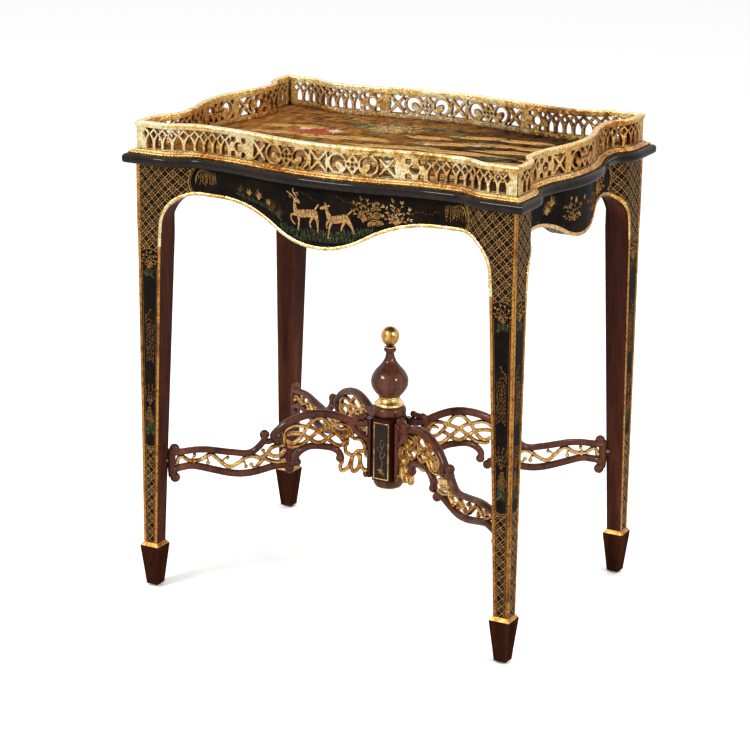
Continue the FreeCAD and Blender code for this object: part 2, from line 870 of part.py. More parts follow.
def make_post():
    body = new_body("StretcherPostShaft")
    low, high = size("post_foot_height"), size("post_shoulder_height")
    outline, side_half, front_half = post_outline()
    sketch = new_sketch(body, "Octagon", "XY_Plane", low)
    draw_outline(sketch, outline, [None] * OCTAGON_SIDES)
    pad(body, sketch, high - low)
    seat, torus = size("torus_seat_width") / 2, size("torus_width") / 2
    torus_top = high + size("torus_height")
    bottom = low - size("post_cap_drop")
    waist_level = low - size("post_cap_waist_drop")
    ring = [(seat, high), (torus, high + size("torus_height") / 2), (seat, torus_top)]
    cap = [(size("post_cap_width") / 2, bottom), (size("post_cap_waist_width") / 2, waist_level)]
    cap.append((size("post_panel_reach"), low))
    ends = [add_shape(name, name, turned(profile)) for name, profile in (("Torus", ring), ("LowerCap", cap))]
    border, sink, reach = size("panel_border"), size("panel_sink"), size("post_panel_reach")
    panel_low = low + border
    panel_height = high - low - border * 2
    for name, sign in (("PanelRight", 1), ("PanelLeft", -1)):
        width = (side_half - border) * 2
        corner = (corner_span(sign, reach - sink, sink + overrun), -(width / 2), panel_low)
        box_feature(body, "Subtractive", name, corner, (sink + overrun, width, panel_height))
    for name, sign in (("PanelBack", 1), ("PanelFront", -1)):
        width = (front_half - border) * 2
        corner = (-(width / 2), corner_span(sign, reach - sink, sink + overrun), panel_low)
        box_feature(body, "Subtractive", name, corner, (width, sink + overrun, panel_height))
    for label, (sx, sy) in CORNERS.items():
        arm_mortise(body, label, sx, sy)
    whole = doc.addObject("Part::MultiFuse", "StretcherPostWhole")
    whole.Shapes = [body] + ends
    bore = doc.addObject("Part::Prism", "SpigotBore")
    bore.Polygon = TURNED_SIDES
    bind(bore, "Circumradius", size("spigot_width") / 2 + clear)
    bind(bore, "Height", size("spigot_reach") + clear + overrun)
    bind_place(bore, (NOTHING, NOTHING, torus_top - size("spigot_reach") - clear))
    post = doc.addObject("Part::Cut", "StretcherPost")
    post.Label = "stretcher_post"
    post.Base = whole
    post.Tool = bore
    nodes.append(post)


def arm_mortise(body, label, sx, sy):
    """A slot for an arm's tongue, turned to face its corner."""
    thick = size("arm_tongue_thickness") + clear * 2
    start = size("post_arm_reach") - size("arm_tongue_reach") - clear
    back_x = signed(sx, start * along_x) + signed(sy, thick / 2 * along_y)
    back_y = signed(sy, start * along_y) - signed(sx, thick / 2 * along_x)
    middle = (size("post_foot_height") + size("post_shoulder_height")) / 2
    level = middle - size("arm_tongue_height") / 2 - clear
    spans = (size("arm_tongue_reach") + clear + overrun, thick, size("arm_tongue_height") + clear * 2)
    box_feature(body, "Subtractive", "Mortise_" + label, (back_x, back_y, level), spans, arm_angle(sx, sy))


def make_finial():
    """Turned in one piece: spigot, bell, waist, onion, neck, collar and an upright oval ball."""
    base = size("post_shoulder_height") + size("torus_height")
    waist_low = base + size("bell_height")
    waist_high = waist_low + size("waist_height")
    neck_level = waist_high + size("onion_height")
    collar_low = neck_level + size("collar_gap")
    collar_high = collar_low + size("collar_height")
    waist, onion = size("waist_width") / 2, size("onion_width") / 2
    neck, collar = size("neck_width") / 2, size("collar_width") / 2
    ball, ball_rise = size("ball_width") / 2, size("ball_height") / 2
    seat_share = size("ball_seat_width") / size("ball_width")
    spigot = size("spigot_width") / 2
    onion_rise = size("onion_height")
    profile = [(spigot, base - size("spigot_reach")), (spigot, base)]
    profile += [(size("bell_width") / 2, base), (waist, waist_low), (waist, waist_high)]
    for width_share, rise_share in ONION_SHARES:
        profile.append((neck + (onion - neck) * width_share, waist_high + onion_rise * rise_share))
    profile += [(neck, neck_level), (collar, collar_low), (collar, collar_high)]
    start = -math.degrees(math.acos(seat_share.value))
    centre = collar_high - ball_rise * math.sin(math.radians(start))
    for step in range(BALL_STEPS):
        turn = math.radians(start + (BALL_TOP - start) * step / (BALL_STEPS - 1))
        profile.append((ball * math.cos(turn), centre + ball_rise * math.sin(turn)))
    nodes.append(add_shape("Finial", "finial", turned(profile)))


# The onion's outline: width above the neck's, as a share of the swell, and height as a share.
ONION_SHARES = [(0.86, 0.11), (1, 0.28), (0.93, 0.45), (0.66, 0.64), (0.2, 0.78)]
BALL_STEPS = 7
# Degrees above level at which the ball ends in a small flat.
BALL_TOP = 76

# The carved arm, seen from its side. Places are shares of its length, from the post's face to the
# leg's arris, and of the arch's height. An entry of two numbers is a corner reached by a straight
# cut; one of four is an arc, through the first place to the second.

ARM_OUTLINE_SHARES = [
    (0, 0.164), (0.019, 0.135, 0.037, 0.182),
    (0.064, 0.122, 0.092, 0.173), (0.119, 0.118, 0.132, 0.327), (0.146, 0.355),
    (0.237, 0.445, 0.329, 0.373), (0.332, 0.264), (0.356, 0.155, 0.4, 0.127), (0.417, 0.155),
    (0.515, 0.141, 0.603, 0.082), (0.732, 0.109, 0.854, 0.191), (0.912, 0.218, 0.956, 0.155),
    (0.963, 0.041, 0.99, 0.045), (1.02, 0.045), (1.02, 0.536), (0.976, 0.536),
    (0.961, 0.518, 0.942, 0.482), (0.844, 0.527, 0.732, 0.486), (0.647, 0.432, 0.563, 0.491),
    (0.532, 0.564), (0.539, 0.673, 0.505, 0.709), (0.481, 0.673),
    (0.386, 0.895, 0.237, 1), (0.139, 0.959, 0.064, 0.864), (0.03, 0.84, 0, 0.87),
]
ARM_OPENING_SHARES = [
    # Between the rails, where the vine runs
    [(0.807, 0.395), (0.868, 0.409, 0.925, 0.391), (0.864, 0.355, 0.807, 0.395)],
    [(0.745, 0.241), (0.837, 0.295), (0.79, 0.364)],
    [(0.624, 0.35), (0.698, 0.245, 0.769, 0.382), (0.695, 0.373, 0.624, 0.35)],
    [(0.678, 0.195), (0.583, 0.2), (0.553, 0.245), (0.569, 0.323), (0.607, 0.314)],
    # Loops where the branch leaves the rails
    [(0.427, 0.473), (0.447, 0.395), (0.475, 0.391), (0.478, 0.436), (0.454, 0.477)],
    [(0.505, 0.432), (0.549, 0.391), (0.522, 0.382)],
    [(0.429, 0.573), (0.444, 0.641), (0.427, 0.691)],
    # Strapwork under the arch
    [(0.305, 0.845), (0.312, 0.805), (0.38, 0.806)],
    [(0.136, 0.823), (0.169, 0.809), (0.193, 0.855)],
    [(0.197, 0.773), (0.237, 0.873, 0.281, 0.782), (0.241, 0.727)],
    [(0.247, 0.655), (0.214, 0.595), (0.244, 0.559), (0.278, 0.591)],
    [(0.263, 0.691), (0.292, 0.736), (0.312, 0.659), (0.293, 0.627)],
    [(0.324, 0.695), (0.317, 0.75), (0.359, 0.768), (0.393, 0.727), (0.402, 0.677)],
    [(0.336, 0.645), (0.346, 0.605), (0.366, 0.559), (0.386, 0.559), (0.403, 0.6), (0.403, 0.636)],
    [(0.302, 0.595), (0.322, 0.632), (0.331, 0.586), (0.349, 0.532), (0.329, 0.541)],
    [(0.359, 0.468), (0.4, 0.468), (0.403, 0.345), (0.383, 0.345)],
    [(0.193, 0.732), (0.169, 0.677), (0.203, 0.623), (0.231, 0.682)],
    [(0.168, 0.755), (0.146, 0.714), (0.115, 0.755), (0.136, 0.782)],
    [(0.18, 0.6), (0.156, 0.632), (0.125, 0.586), (0.132, 0.527), (0.156, 0.532)],
    # Ring, branch and pendants beside the post
    [
        (0.037, 0.545), (0.02, 0.482), (0.024, 0.432), (0.071, 0.377),
        (0.092, 0.414), (0.093, 0.482), (0.075, 0.536),
    ],
    [(0.007, 0.814), (0.051, 0.814), (0.007, 0.682)],
    [(0.044, 0.195), (0.064, 0.195), (0.056, 0.3)],
    [(0.092, 0.2), (0.112, 0.173), (0.102, 0.264)],
]


# Flats that stand for each arc of the carving.
ARC_STEPS = 4


def arm_face(shares):
    """The flat face inside one outline of the arm, in the upright plane through its length."""
    face_reach = sheet.post_arm_reach + sheet.arm_stile_width
    run = diagonal.value - face_reach

    def place(along, up):
        return Vector(face_reach + run * along, 0, sheet.arm_foot_height + sheet.arm_arch_height * up)

    edges = []
    here = place(*shares[-1][-2:])
    for entry in shares:
        there = place(*entry[-2:])
        stops = [here, there]
        if len(entry) > 2:
            stops = Part.Arc(here, place(*entry[:2]), there).toShape().discretize(ARC_STEPS + 1)
        if (there - here).Length > sheet.joint_clearance:
            edges.append(Part.makePolygon(stops))
        here = there
    return Part.Face(Part.Wire(edges))


def arm_blank():
    """One arm before it is fitted to its leg, standing along +X from the post."""
    outer = arm_face(ARM_OUTLINE_SHARES)
    through = Vector(0, sheet.arm_thickness, 0)
    openings = [arm_face(shares).extrude(through) for shares in ARM_OPENING_SHARES]
    solid = outer.extrude(through).cut(Part.makeCompound(openings))
    solid.translate(Vector(0, -sheet.arm_thickness / 2, 0))
    stile_width, stile_height = sheet.arm_stile_width, sheet.arm_stile_height
    stile = arm_upright(sheet.post_arm_reach, stile_width, sheet.arm_thickness, stile_height)
    tongue_start = sheet.post_arm_reach - sheet.arm_tongue_reach
    tongue_run = sheet.arm_tongue_reach + sheet.overrun
    tongue = arm_upright(tongue_start, tongue_run, sheet.arm_tongue_thickness, sheet.arm_tongue_height)
    return solid.fuse([stile, tongue]).removeSplitter()


def arm_upright(start, run, thick, tall):
    """An upright block on the arm's centre plane, level with the middle of the post."""
    middle = (sheet.post_foot_height + sheet.post_shoulder_height) / 2
    return Part.makeBox(run, thick, tall, Vector(start, -thick / 2, middle - tall / 2))


def make_arm(label, sx, sy, leg, blank):
    """An arm cut to sit astride its leg's arris and bored for the dowel."""
    feature = doc.addObject("Part::Feature", "ArmBlank_" + label)
    feature.Shape = blank
    feature.Placement = Placement(Vector(), Rotation(Vector(0, 0, 1), arm_angle(sx, sy)))
    fitted = doc.addObject("Part::Cut", "ArmFitted_" + label)
    fitted.Base = feature
    fitted.Tool = leg
    bore = prism("", "ArmBore_" + label, size("dowel_width") / 2 + clear, size("dowel_reach") * 2)
    lay_along_diagonal(bore, sx, sy, size("dowel_reach") + clear)
    arm = doc.addObject("Part::Cut", "Arm_" + label)
    arm.Label = "stretcher_arm_" + label
    arm.Base = fitted
    arm.Tool = bore
    nodes.append(arm)


def make_dowel(label, sx, sy):
    dowel = prism("", "Dowel_" + label, size("dowel_width") / 2, (size("dowel_reach") - clear) * 2)
    lay_along_diagonal(dowel, sx, sy, size("dowel_reach") - clear)
    return dowel


make_top_board()
make_step_mouldings()
make_gallery()
for name in SIDES:
    make_apron(name)
legs = {label: make_leg(label, sx, sy) for label, (sx, sy) in CORNERS.items()}
for label, (sx, sy) in CORNERS.items():
    make_foot(label, sx, sy)
    make_corner_block(label, sx, sy)
group("glides", [make_glide(label, sx, sy) for label, (sx, sy) in CORNERS.items()])
group("top_screws", [make_top_screw(label, sx, sy) for label, (sx, sy) in CORNERS.items()])
make_post()
make_finial()
doc.recompute()
blank = arm_blank()
for label, (sx, sy) in CORNERS.items():
    make_arm(label, sx, sy, legs[label], blank)
group("stretcher_dowels", [make_dowel(label, sx, sy) for label, (sx, sy) in CORNERS.items()])
doc.recompute()

for item in doc.Objects:
    if "Invalid" in item.State or "Error" in item.State:
        raise RuntimeError("%s (%s) did not compute: %s" % (item.Label, item.Name, item.State))
for node in nodes:
    if node.Shape.isNull() or not node.Shape.isValid():
        raise RuntimeError("%s has no valid shape" % node.Label)

os.makedirs("parts", exist_ok=True)
for node in nodes:
    box = node.Shape.BoundBox
    print("%-26s solids %d  volume %9.0f  z %.1f to %.1f" % (
        node.Label, len(node.Shape.Solids), node.Shape.Volume, box.ZMin, box.ZMax))
    node.Shape.exportStep("parts/%s.step" % node.Label)
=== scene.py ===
"""The looks of the serpentine side table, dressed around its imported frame.

Shapes are worked out in millimetres and turned into metres where a mesh is made. A side of the
table is drawn in three measures: p along the side from its middle, w outwards from the serpentine
face and z upwards.
"""

import math
import random

import bmesh
import bpy
from mathutils import Matrix, Vector
from mathutils.geometry import delaunay_2d_cdt


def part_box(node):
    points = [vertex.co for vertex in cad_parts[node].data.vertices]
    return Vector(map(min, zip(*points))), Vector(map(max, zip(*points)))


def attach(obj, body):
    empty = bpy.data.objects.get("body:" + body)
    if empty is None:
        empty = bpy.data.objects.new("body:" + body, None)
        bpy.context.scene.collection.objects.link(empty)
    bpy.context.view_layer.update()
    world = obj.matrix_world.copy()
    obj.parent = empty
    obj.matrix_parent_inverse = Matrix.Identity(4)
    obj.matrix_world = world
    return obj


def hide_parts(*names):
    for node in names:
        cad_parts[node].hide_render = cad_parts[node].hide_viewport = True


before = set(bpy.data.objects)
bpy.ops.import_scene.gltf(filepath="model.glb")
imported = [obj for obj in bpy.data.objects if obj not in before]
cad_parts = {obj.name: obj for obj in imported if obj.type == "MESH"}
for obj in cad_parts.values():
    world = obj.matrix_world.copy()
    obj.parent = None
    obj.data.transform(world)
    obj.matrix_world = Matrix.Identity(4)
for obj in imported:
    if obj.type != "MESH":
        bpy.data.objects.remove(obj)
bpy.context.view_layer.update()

MM = 0.001


# Sizes, read from the frame or repeated from the part


def box_mm(node):
    """A node's lowest and highest corners in millimetres."""
    return tuple(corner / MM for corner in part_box(node))


LEG_WIDTH, ANKLE_WIDTH = 38, 22.5
ANKLE_SPLAY, ANKLE_SET = 1.3, 3.6
HALF_LENGTH = box_mm("leg_front_right")[1].x - ANKLE_SPLAY
HALF_DEPTH = box_mm("leg_back_right")[1].y
BOARD_LOW, BOARD_HIGH = box_mm("top_board")[0].z, box_mm("top_board")[1].z
STEP_HIGH = box_mm("step_moulding_front")[1].z
GALLERY_TOP = box_mm("gallery_front")[1].z
APRON_TOE = box_mm("apron_front")[0].z
FOOT_TOP = box_mm("spade_foot_front_left")[1].z
FINIAL_TOP = box_mm("finial")[1].z
RIM_HEIGHT = 8
GALLERY_LOW = GALLERY_TOP - RIM_HEIGHT
GALLERY_THICKNESS = 7
SIDE_PROUD = 2
FACET_MARGIN = 0.1
BOARD_OVERHANG = box_mm("top_board")[1].x - HALF_LENGTH - SIDE_PROUD - FACET_MARGIN

# The serpentine of each kind of side: where it dips, how deep, and how proud its middle is.
CURVES = {
    "front": {"corner": HALF_LENGTH, "line": HALF_DEPTH, "dip": 200, "deep": 19, "proud": 4.5},
    "side": {"corner": HALF_DEPTH, "line": HALF_LENGTH, "dip": 126, "deep": 18.5, "proud": SIDE_PROUD},
}
SIDES = {"front": "front", "right": "side", "back": "front", "left": "side"}
CORNERS = {"front_left": (-1, -1), "front_right": (1, -1), "back_right": (1, 1), "back_left": (-1, 1)}


def turn_side(name, p, q):
    """A plan point from a side's own measures to the table's."""
    return {"front": (p, -q), "right": (q, p), "back": (-p, q), "left": (-q, -p)}[name]


def serpentine(kind, p):
    """Distance of the face from the table's middle at p, and the outward unit normal there."""
    curve = CURVES[kind]
    line, dip = curve["line"], curve["dip"]
    flat = curve["corner"] - LEG_WIDTH
    low, high = line - curve["deep"], line + curve["proud"]
    wide = ((dip / 2) ** 2 + ((high - low) / 2) ** 2) / (high - low)
    run = flat - dip
    tight = ((run / 2) ** 2 + ((line - low) / 2) ** 2) / (line - low)
    place = abs(p)
    if place >= flat:
        return line, (0, 1)
    if place <= dip / 2:
        centre, radius, bulge = (0, high - wide), wide, 1
    elif place <= dip:
        centre, radius, bulge = (dip, low + wide), wide, -1
    elif place <= dip + run / 2:
        centre, radius, bulge = (dip, low + tight), tight, -1
    else:
        centre, radius, bulge = (flat, line - tight), tight, 1
    along = place - centre[0]
    rise = math.sqrt(radius**2 - along**2)
    normal = (bulge * along / radius, rise / radius)
    return centre[1] + bulge * rise, (math.copysign(1, p) * normal[0], normal[1])


def bend(name, p, w, z):
    """A point on or off one side's face; the ends lie on the mitre of the corner."""
    kind = SIDES[name]
    flat = CURVES[kind]["corner"] - LEG_WIDTH
    q, normal = serpentine(kind, p)
    if abs(p) > flat:
        p = math.copysign(flat + (abs(p) - flat) * (LEG_WIDTH + w) / LEG_WIDTH, p)
    return turn_side(name, p + normal[0] * w, q + normal[1] * w) + (z,)


def on_side(name):
    """Points laid on or off one side's face."""
    return lambda p, w, z: bend(name, p, w, z)


# The legs' edges: how far each stands in at the ankle, along its side and across it.
INSETS = {"front": (-ANKLE_SPLAY, ANKLE_SET), "side": (ANKLE_SET, -ANKLE_SPLAY)}


def leg_taper(level):
    """How far up its taper a leg is, from 0 at the foot to 1 at the knee."""
    return min(1, max(0, (level - FOOT_TOP) / (APRON_TOE - FOOT_TOP)))


def leg_width(level):
    return ANKLE_WIDTH + (LEG_WIDTH - ANKLE_WIDTH) * leg_taper(level)


def leg_edge(kind, level, inner):
    """How far from the middle of a side an edge of its leg's face stands."""
    outer = CURVES[kind]["corner"] - INSETS[kind][0] * (1 - leg_taper(level))
    return outer - leg_width(level) if inner else outer


def on_leg(name):
    """Points laid on the outer faces of the legs of one side, and on its apron above them."""
    kind = SIDES[name]

    def lay(u, w, v):
        if v > APRON_TOE:
            return bend(name, u, w, v)
        return turn_side(name, u, CURVES[kind]["line"] - INSETS[kind][1] * (1 - leg_taper(v)) + w) + (v,)

    return lay


# Curves and forms


def spread(start, end, step):
    """Even stops from start to end, no further apart than the step."""
    count = max(1, math.ceil(abs(end - start) / step))
    return [start + (end - start) * i / count for i in range(count + 1)]


def smooth(points, steps=6):
    """A smooth line through the points."""
    last = len(points) - 1
    line = []
    for i in range(last):
        a, b, c, d = (points[min(max(j, 0), last)] for j in (i - 1, i, i + 1, i + 2))
        for t in (step / steps for step in range(steps)):
            line.append(tuple(
                0.5 * (2 * q + (r - p) * t + (2 * p - 5 * q + 4 * r - s) * t**2
                       + (3 * q - p - 3 * r + s) * t**3)
                for p, q, r, s in zip(a, b, c, d)
            ))
    return line + [tuple(points[-1])]


def oval(centre, across, up, angles):
    """Points on an oval at angles in degrees."""
    turns = [math.radians(angle) for angle in angles]
    return [(centre[0] + across * math.cos(turn), centre[1] + up * math.sin(turn)) for turn in turns]


def arc(centre, radius, start, end, steps=10):
    """Points on an arc, with its angles in degrees."""
    return oval(centre, radius, radius, [start + (end - start) * i / steps for i in range(steps + 1)])


def polar(angle, reach, centre=(0, 0)):
    """The point at an angle in degrees and a reach from a centre."""
    return oval(centre, reach, reach, [angle])[0]


def circle(centre, radius, steps=16):
    return arc(centre, radius, 0, 360, steps)[:-1]


def mirrored(shapes):
    """The shapes and their mirror images about the middle line."""
    return shapes + [[(-u, v) for u, v in reversed(shape)] for shape in shapes]


def across(line, i):
    """The unit normal of a flat line at its point i."""
    before, after = line[max(i - 1, 0)], line[min(i + 1, len(line) - 1)]
    du, dv = after[0] - before[0], after[1] - before[1]
    length = math.hypot(du, dv) or 1
    return (-dv / length, du / length)

# Half widths of a brush stroke at its finest, and how far it stands out and reaches in.
STROKE_LEAST, FINEST_STROKE = 0.06, 0.16
STROKE_LIFT, STROKE_DEPTH = 0.35, 0.25
GRASS_PITCH, GRASS_ROW, GRASS_HEIGHT = 1.3, 2.4, 4.5
SHARPEST_MITRE = 0.35
SHARP_ANGLE = math.radians(38)
MERGE_REACH = 0.02


class Form:
    """The vertices and faces of one piece, in millimetres."""

    def __init__(self):
        self.verts = []
        self.faces = []
        self.deep = set()

    def add(self, verts, faces):
        base = len(self.verts)
        self.verts += verts
        self.faces += [[index + base for index in face] for face in faces]

    def skin(self, rings, caps=True):
        """Join rings of as many points each, and cap both ends."""
        count = len(rings[0])
        verts = [point for ring in rings for point in ring]
        faces = []
        for low in range(0, len(verts) - count, count):
            for k in range(count):
                after = (k + 1) % count
                faces.append([low + k, low + after, low + count + after, low + count + k])
        if caps:
            faces.append(list(reversed(range(count))))
            faces.append([len(verts) - count + k for k in range(count)])
        self.add(verts, faces)

    def strand(self, line, high, thick, lay, sides=8, tip=None):
        """A rounded strand along a line of (u, v) in a face; high is its half width in the face."""
        rings = []
        for i, (u, v) in enumerate(line):
            side = across(line, i)
            scale = tip(i / (len(line) - 1)) if tip else 1
            ring = []
            for k in range(sides):
                turn = math.tau * (k + 0.5) / sides
                off = high * scale * math.cos(turn)
                ring.append(lay(u + side[0] * off, thick * scale * math.sin(turn), v + side[1] * off))
            rings.append(ring)
        self.skin(rings)

    def ball(self, centre, radius, thick, lay, sides=14, rows=8):
        """A ball or bead at (u, v); thick is its half thickness across the face."""
        rings = []
        for row in range(1, rows):
            lean = math.pi * row / rows
            ring = circle(centre, radius * math.sin(lean), sides)
            rings.append([lay(u, thick * math.cos(lean), v) for u, v in ring])
        self.skin(rings)

    def lathe(self, profile, sides=64):
        """A turned form about the upright axis, from (radius, z) pairs."""
        self.skin([[point + (z,) for point in circle((0, 0), radius, sides)] for radius, z in profile])

    def stroke(self, points, lay, lift=STROKE_LIFT):
        """A brush stroke through (u, v, half width) points, a little proud of the face."""
        line = smooth(points, 3)
        rings = []
        for i, (u, v, half) in enumerate(line):
            du, dv = (max(half, STROKE_LEAST) * part for part in across(line, i))
            edges = lay(u - du, 0, v - dv), lay(u + du, 0, v + dv)
            rings.append([edges[0], lay(u, lift, v), edges[1], lay(u, -STROKE_DEPTH, v)])
        self.skin(rings)

    def plate(self, outline, holes, low, high, lay, edge, reach=5):
        """A pierced plate with softened edges, drawn in (u, v) and then laid."""
        loops = [(outline, grow(outline, -edge))] + [(hole, grow(hole, edge)) for hole in holes]
        points, edges = [], []
        for _, loop in loops:
            base, count = len(points), len(loop)
            points += loop
            edges += [(base + i, base + (i + 1) % count) for i in range(count)]
        (left, foot), (right, head) = extent(loops[0][1])
        for u in spread(left, right, reach)[1:-1]:
            points += [(u, v) for v in spread(foot, head, reach)[1:-1]]
        flat, _, faces, *_ = delaunay_2d_cdt([Vector(point) for point in points], edges, [], 0, 1e-4)
        cuts = [(loop, extent(loop)) for _, loop in loops[1:]]
        kept = []
        for face in faces:
            u = sum(flat[i].x for i in face) / len(face)
            v = sum(flat[i].y for i in face) / len(face)
            if not any(a[0] < u < b[0] and a[1] < v < b[1] and inside(u, v, loop) for loop, (a, b) in cuts):
                kept.append(list(face))
        for w in (low, high):
            self.add([lay(point.x, w, point.y) for point in flat], kept)
        # The walls and softened edges of the openings are kept apart, for a finish of painted shade.
        start = len(self.faces)
        for wall, face in loops:
            levels = ((face, high), (wall, high - edge), (wall, low + edge), (face, low))
            self.skin([[lay(u, w, v) for u, v in loop] for loop, w in levels], caps=False)
        self.deep.update(range(start, len(self.faces)))


def extent(loop):
    """The lowest and highest corners of a flat loop."""
    return tuple((pick(u for u, _ in loop), pick(v for _, v in loop)) for pick in (min, max))


def inside(u, v, loop):
    """Whether a point lies in a flat loop."""
    odd = False
    for (u1, v1), (u2, v2) in zip(loop, loop[1:] + loop[:1]):
        if (v1 > v) != (v2 > v) and u < u1 + (v - v1) * (u2 - u1) / (v2 - v1):
            odd = not odd
    return odd


def grow(loop, by):
    """A flat loop moved outwards all round, or inwards."""
    ahead, behind = loop[1:] + loop[:1], loop[-1:] + loop[:-1]
    area = sum(a[0] * b[1] - b[0] * a[1] for a, b in zip(loop, ahead))
    by = math.copysign(by, by * area)
    moved = []
    for before, here, after in zip(behind, loop, ahead):
        first = Vector((here[0] - before[0], here[1] - before[1])).normalized()
        second = Vector((after[0] - here[0], after[1] - here[1])).normalized()
        out = Vector((first.y + second.y, -first.x - second.x))
        scale = max(out.length_squared / 2, SHARPEST_MITRE)
        moved.append((here[0] + out.x * by / scale, here[1] + out.y * by / scale))
    return moved


def make_piece(name, form, material, slot, stands_for=(), deep=None):
    """Turn a form into an object that rides on the table; deep finishes its deep faces."""
    mesh = bpy.data.meshes.new(name)
    mesh.from_pydata([tuple(value * MM for value in vert) for vert in form.verts], [], form.faces)
    for index in form.deep:
        mesh.polygons[index].material_index = 1
    work = bmesh.new()
    work.from_mesh(mesh)
    bmesh.ops.remove_doubles(work, verts=work.verts, dist=MERGE_REACH * MM)
    bmesh.ops.recalc_face_normals(work, faces=work.faces)
    work.to_mesh(mesh)
    work.free()
    mesh.shade_smooth()
    mesh.set_sharp_from_angle(angle=SHARP_ANGLE)
    for finish in filter(None, (material, deep)):
        mesh.materials.append(finish)
    piece = bpy.data.objects.new(name, mesh)
    bpy.context.scene.collection.objects.link(piece)
    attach(piece, "root")
    if stands_for:
        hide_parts(*stands_for)


# Materials


class Value:
    """A number or colour at each point of a surface, worked out by shader nodes."""

    def __init__(self, nodes, socket):
        self.nodes, self.socket = nodes, socket

    def __add__(self, other):
        return self.nodes.maths("ADD", self, other)

    def __sub__(self, other):
        return self.nodes.maths("SUBTRACT", self, other)

    def __rsub__(self, other):
        return self.nodes.maths("SUBTRACT", other, self)

    def __mul__(self, other):
        return self.nodes.maths("MULTIPLY", self, other)

    def __truediv__(self, other):
        return self.nodes.maths("DIVIDE", self, other)

    def __gt__(self, other):
        return self.nodes.maths("GREATER_THAN", self, other)

    def __lt__(self, other):
        return self.nodes.maths("LESS_THAN", self, other)

    def __abs__(self):
        return self.nodes.maths("ABSOLUTE", self)

    def most(self, other):
        return self.nodes.maths("MAXIMUM", self, other)

    def least(self, other):
        return self.nodes.maths("MINIMUM", self, other)

    def near(self, other, reach):
        """1 where the two values differ by no more than the reach, and 0 elsewhere."""
        return self.nodes.maths("COMPARE", self, other, reach)

    def fold(self, period):
        """Distance from the nearest multiple of the period."""
        return self.nodes.maths("PINGPONG", self, period / 2)


class Nodes:
    """A tree whose shader nodes are each made, set and joined in one call."""

    def __init__(self, tree):
        self.tree = tree

    def node(self, kind, **values):
        """A node; capitalised names are its inputs and the other names its settings."""
        made = self.tree.nodes.new("ShaderNode" + kind)
        for key, value in values.items():
            if key[0].isupper():
                self.put(value, made.inputs[key])
            else:
                setattr(made, key, value)
        return made

    def value(self, kind, output, **values):
        return Value(self, self.node(kind, **values).outputs[output])

    def put(self, value, socket):
        """Join a value to an input, or write a number or a colour there."""
        if isinstance(value, Value):
            self.tree.links.new(value.socket, socket)
        elif socket.type == "RGBA":
            socket.default_value = tuple(value) + (1,)
        else:
            socket.default_value = value

    def maths(self, operation, *values):
        step = self.node("Math", operation=operation)
        for socket, value in zip(step.inputs, values):
            self.put(value, socket)
        return Value(self, step.outputs[0])

    def mix(self, share, first, second):
        """Mix two colours; each may be a value or a plain colour."""
        return self.value("Mix", "Result", data_type="RGBA", Factor=share, A=first, B=second)


class Shader(Nodes):
    """A node material with a Principled surface, read in the table's own coordinates."""

    def __init__(self, name):
        self.material = bpy.data.materials.new(name)
        self.material.use_nodes = True
        super().__init__(self.material.node_tree)
        self.surface = self.tree.nodes["Principled BSDF"]
        self.coordinates = self.node("TexCoord")

    def noise(self, scale, detail=4, rough=0.6, stretch=(1, 1, 1), distortion=0):
        """Noise on the object, stretched by a scale on each axis."""
        place = Value(self, self.coordinates.outputs["Object"])
        place = self.value("Mapping", "Vector", Scale=stretch, Vector=place)
        values = {"Scale": scale, "Detail": detail, "Roughness": rough, "Distortion": distortion}
        return self.value("TexNoise", "Fac", Vector=place, **values)

    def axes(self, output):
        """The three parts of the place on the object or of its normal."""
        parts = self.node("SeparateXYZ", Vector=Value(self, self.coordinates.outputs[output]))
        return [Value(self, part) for part in parts.outputs]

    def ramp(self, source, *stops):
        """Colours at places from 0 to 1."""
        ramp = self.node("ValToRGB", Fac=source)
        elements = ramp.color_ramp.elements
        while len(elements) < len(stops):
            elements.new(0.5)
        for element, (position, colour) in zip(elements, stops):
            element.position = position
            element.color = colour + (1,)
        return Value(self, ramp.outputs["Color"])

    def fade(self, source, start, end, first=0, last=1):
        """A number that runs from first to last while the source runs from start to end."""
        return self.ramp(source, (start, (first,) * 3), (end, (last,) * 3))

    def bump(self, height, strength, distance):
        return self.value("Bump", "Normal", Strength=strength, Distance=distance, Height=height)

    def recess(self, reach):
        """Dark where surfaces crowd together, from 0 in a corner to 1 in the open."""
        return self.value("AmbientOcclusion", "AO", samples=6, Distance=reach)

    def finish(self, **values):
        """Put values in the surface's inputs and hand the material over."""
        for key, value in values.items():
            self.put(value, self.surface.inputs[key.replace("_", " ")])
        return self.material


# Red bole, brown wax specks, and the brown that the gilding takes as painted shade in its recesses.
BOLE, WAX_SPECK, PAINTED_SHADE_BROWN = (0.36, 0.085, 0.018), (0.075, 0.028, 0.009), (0.050, 0.018, 0.007)


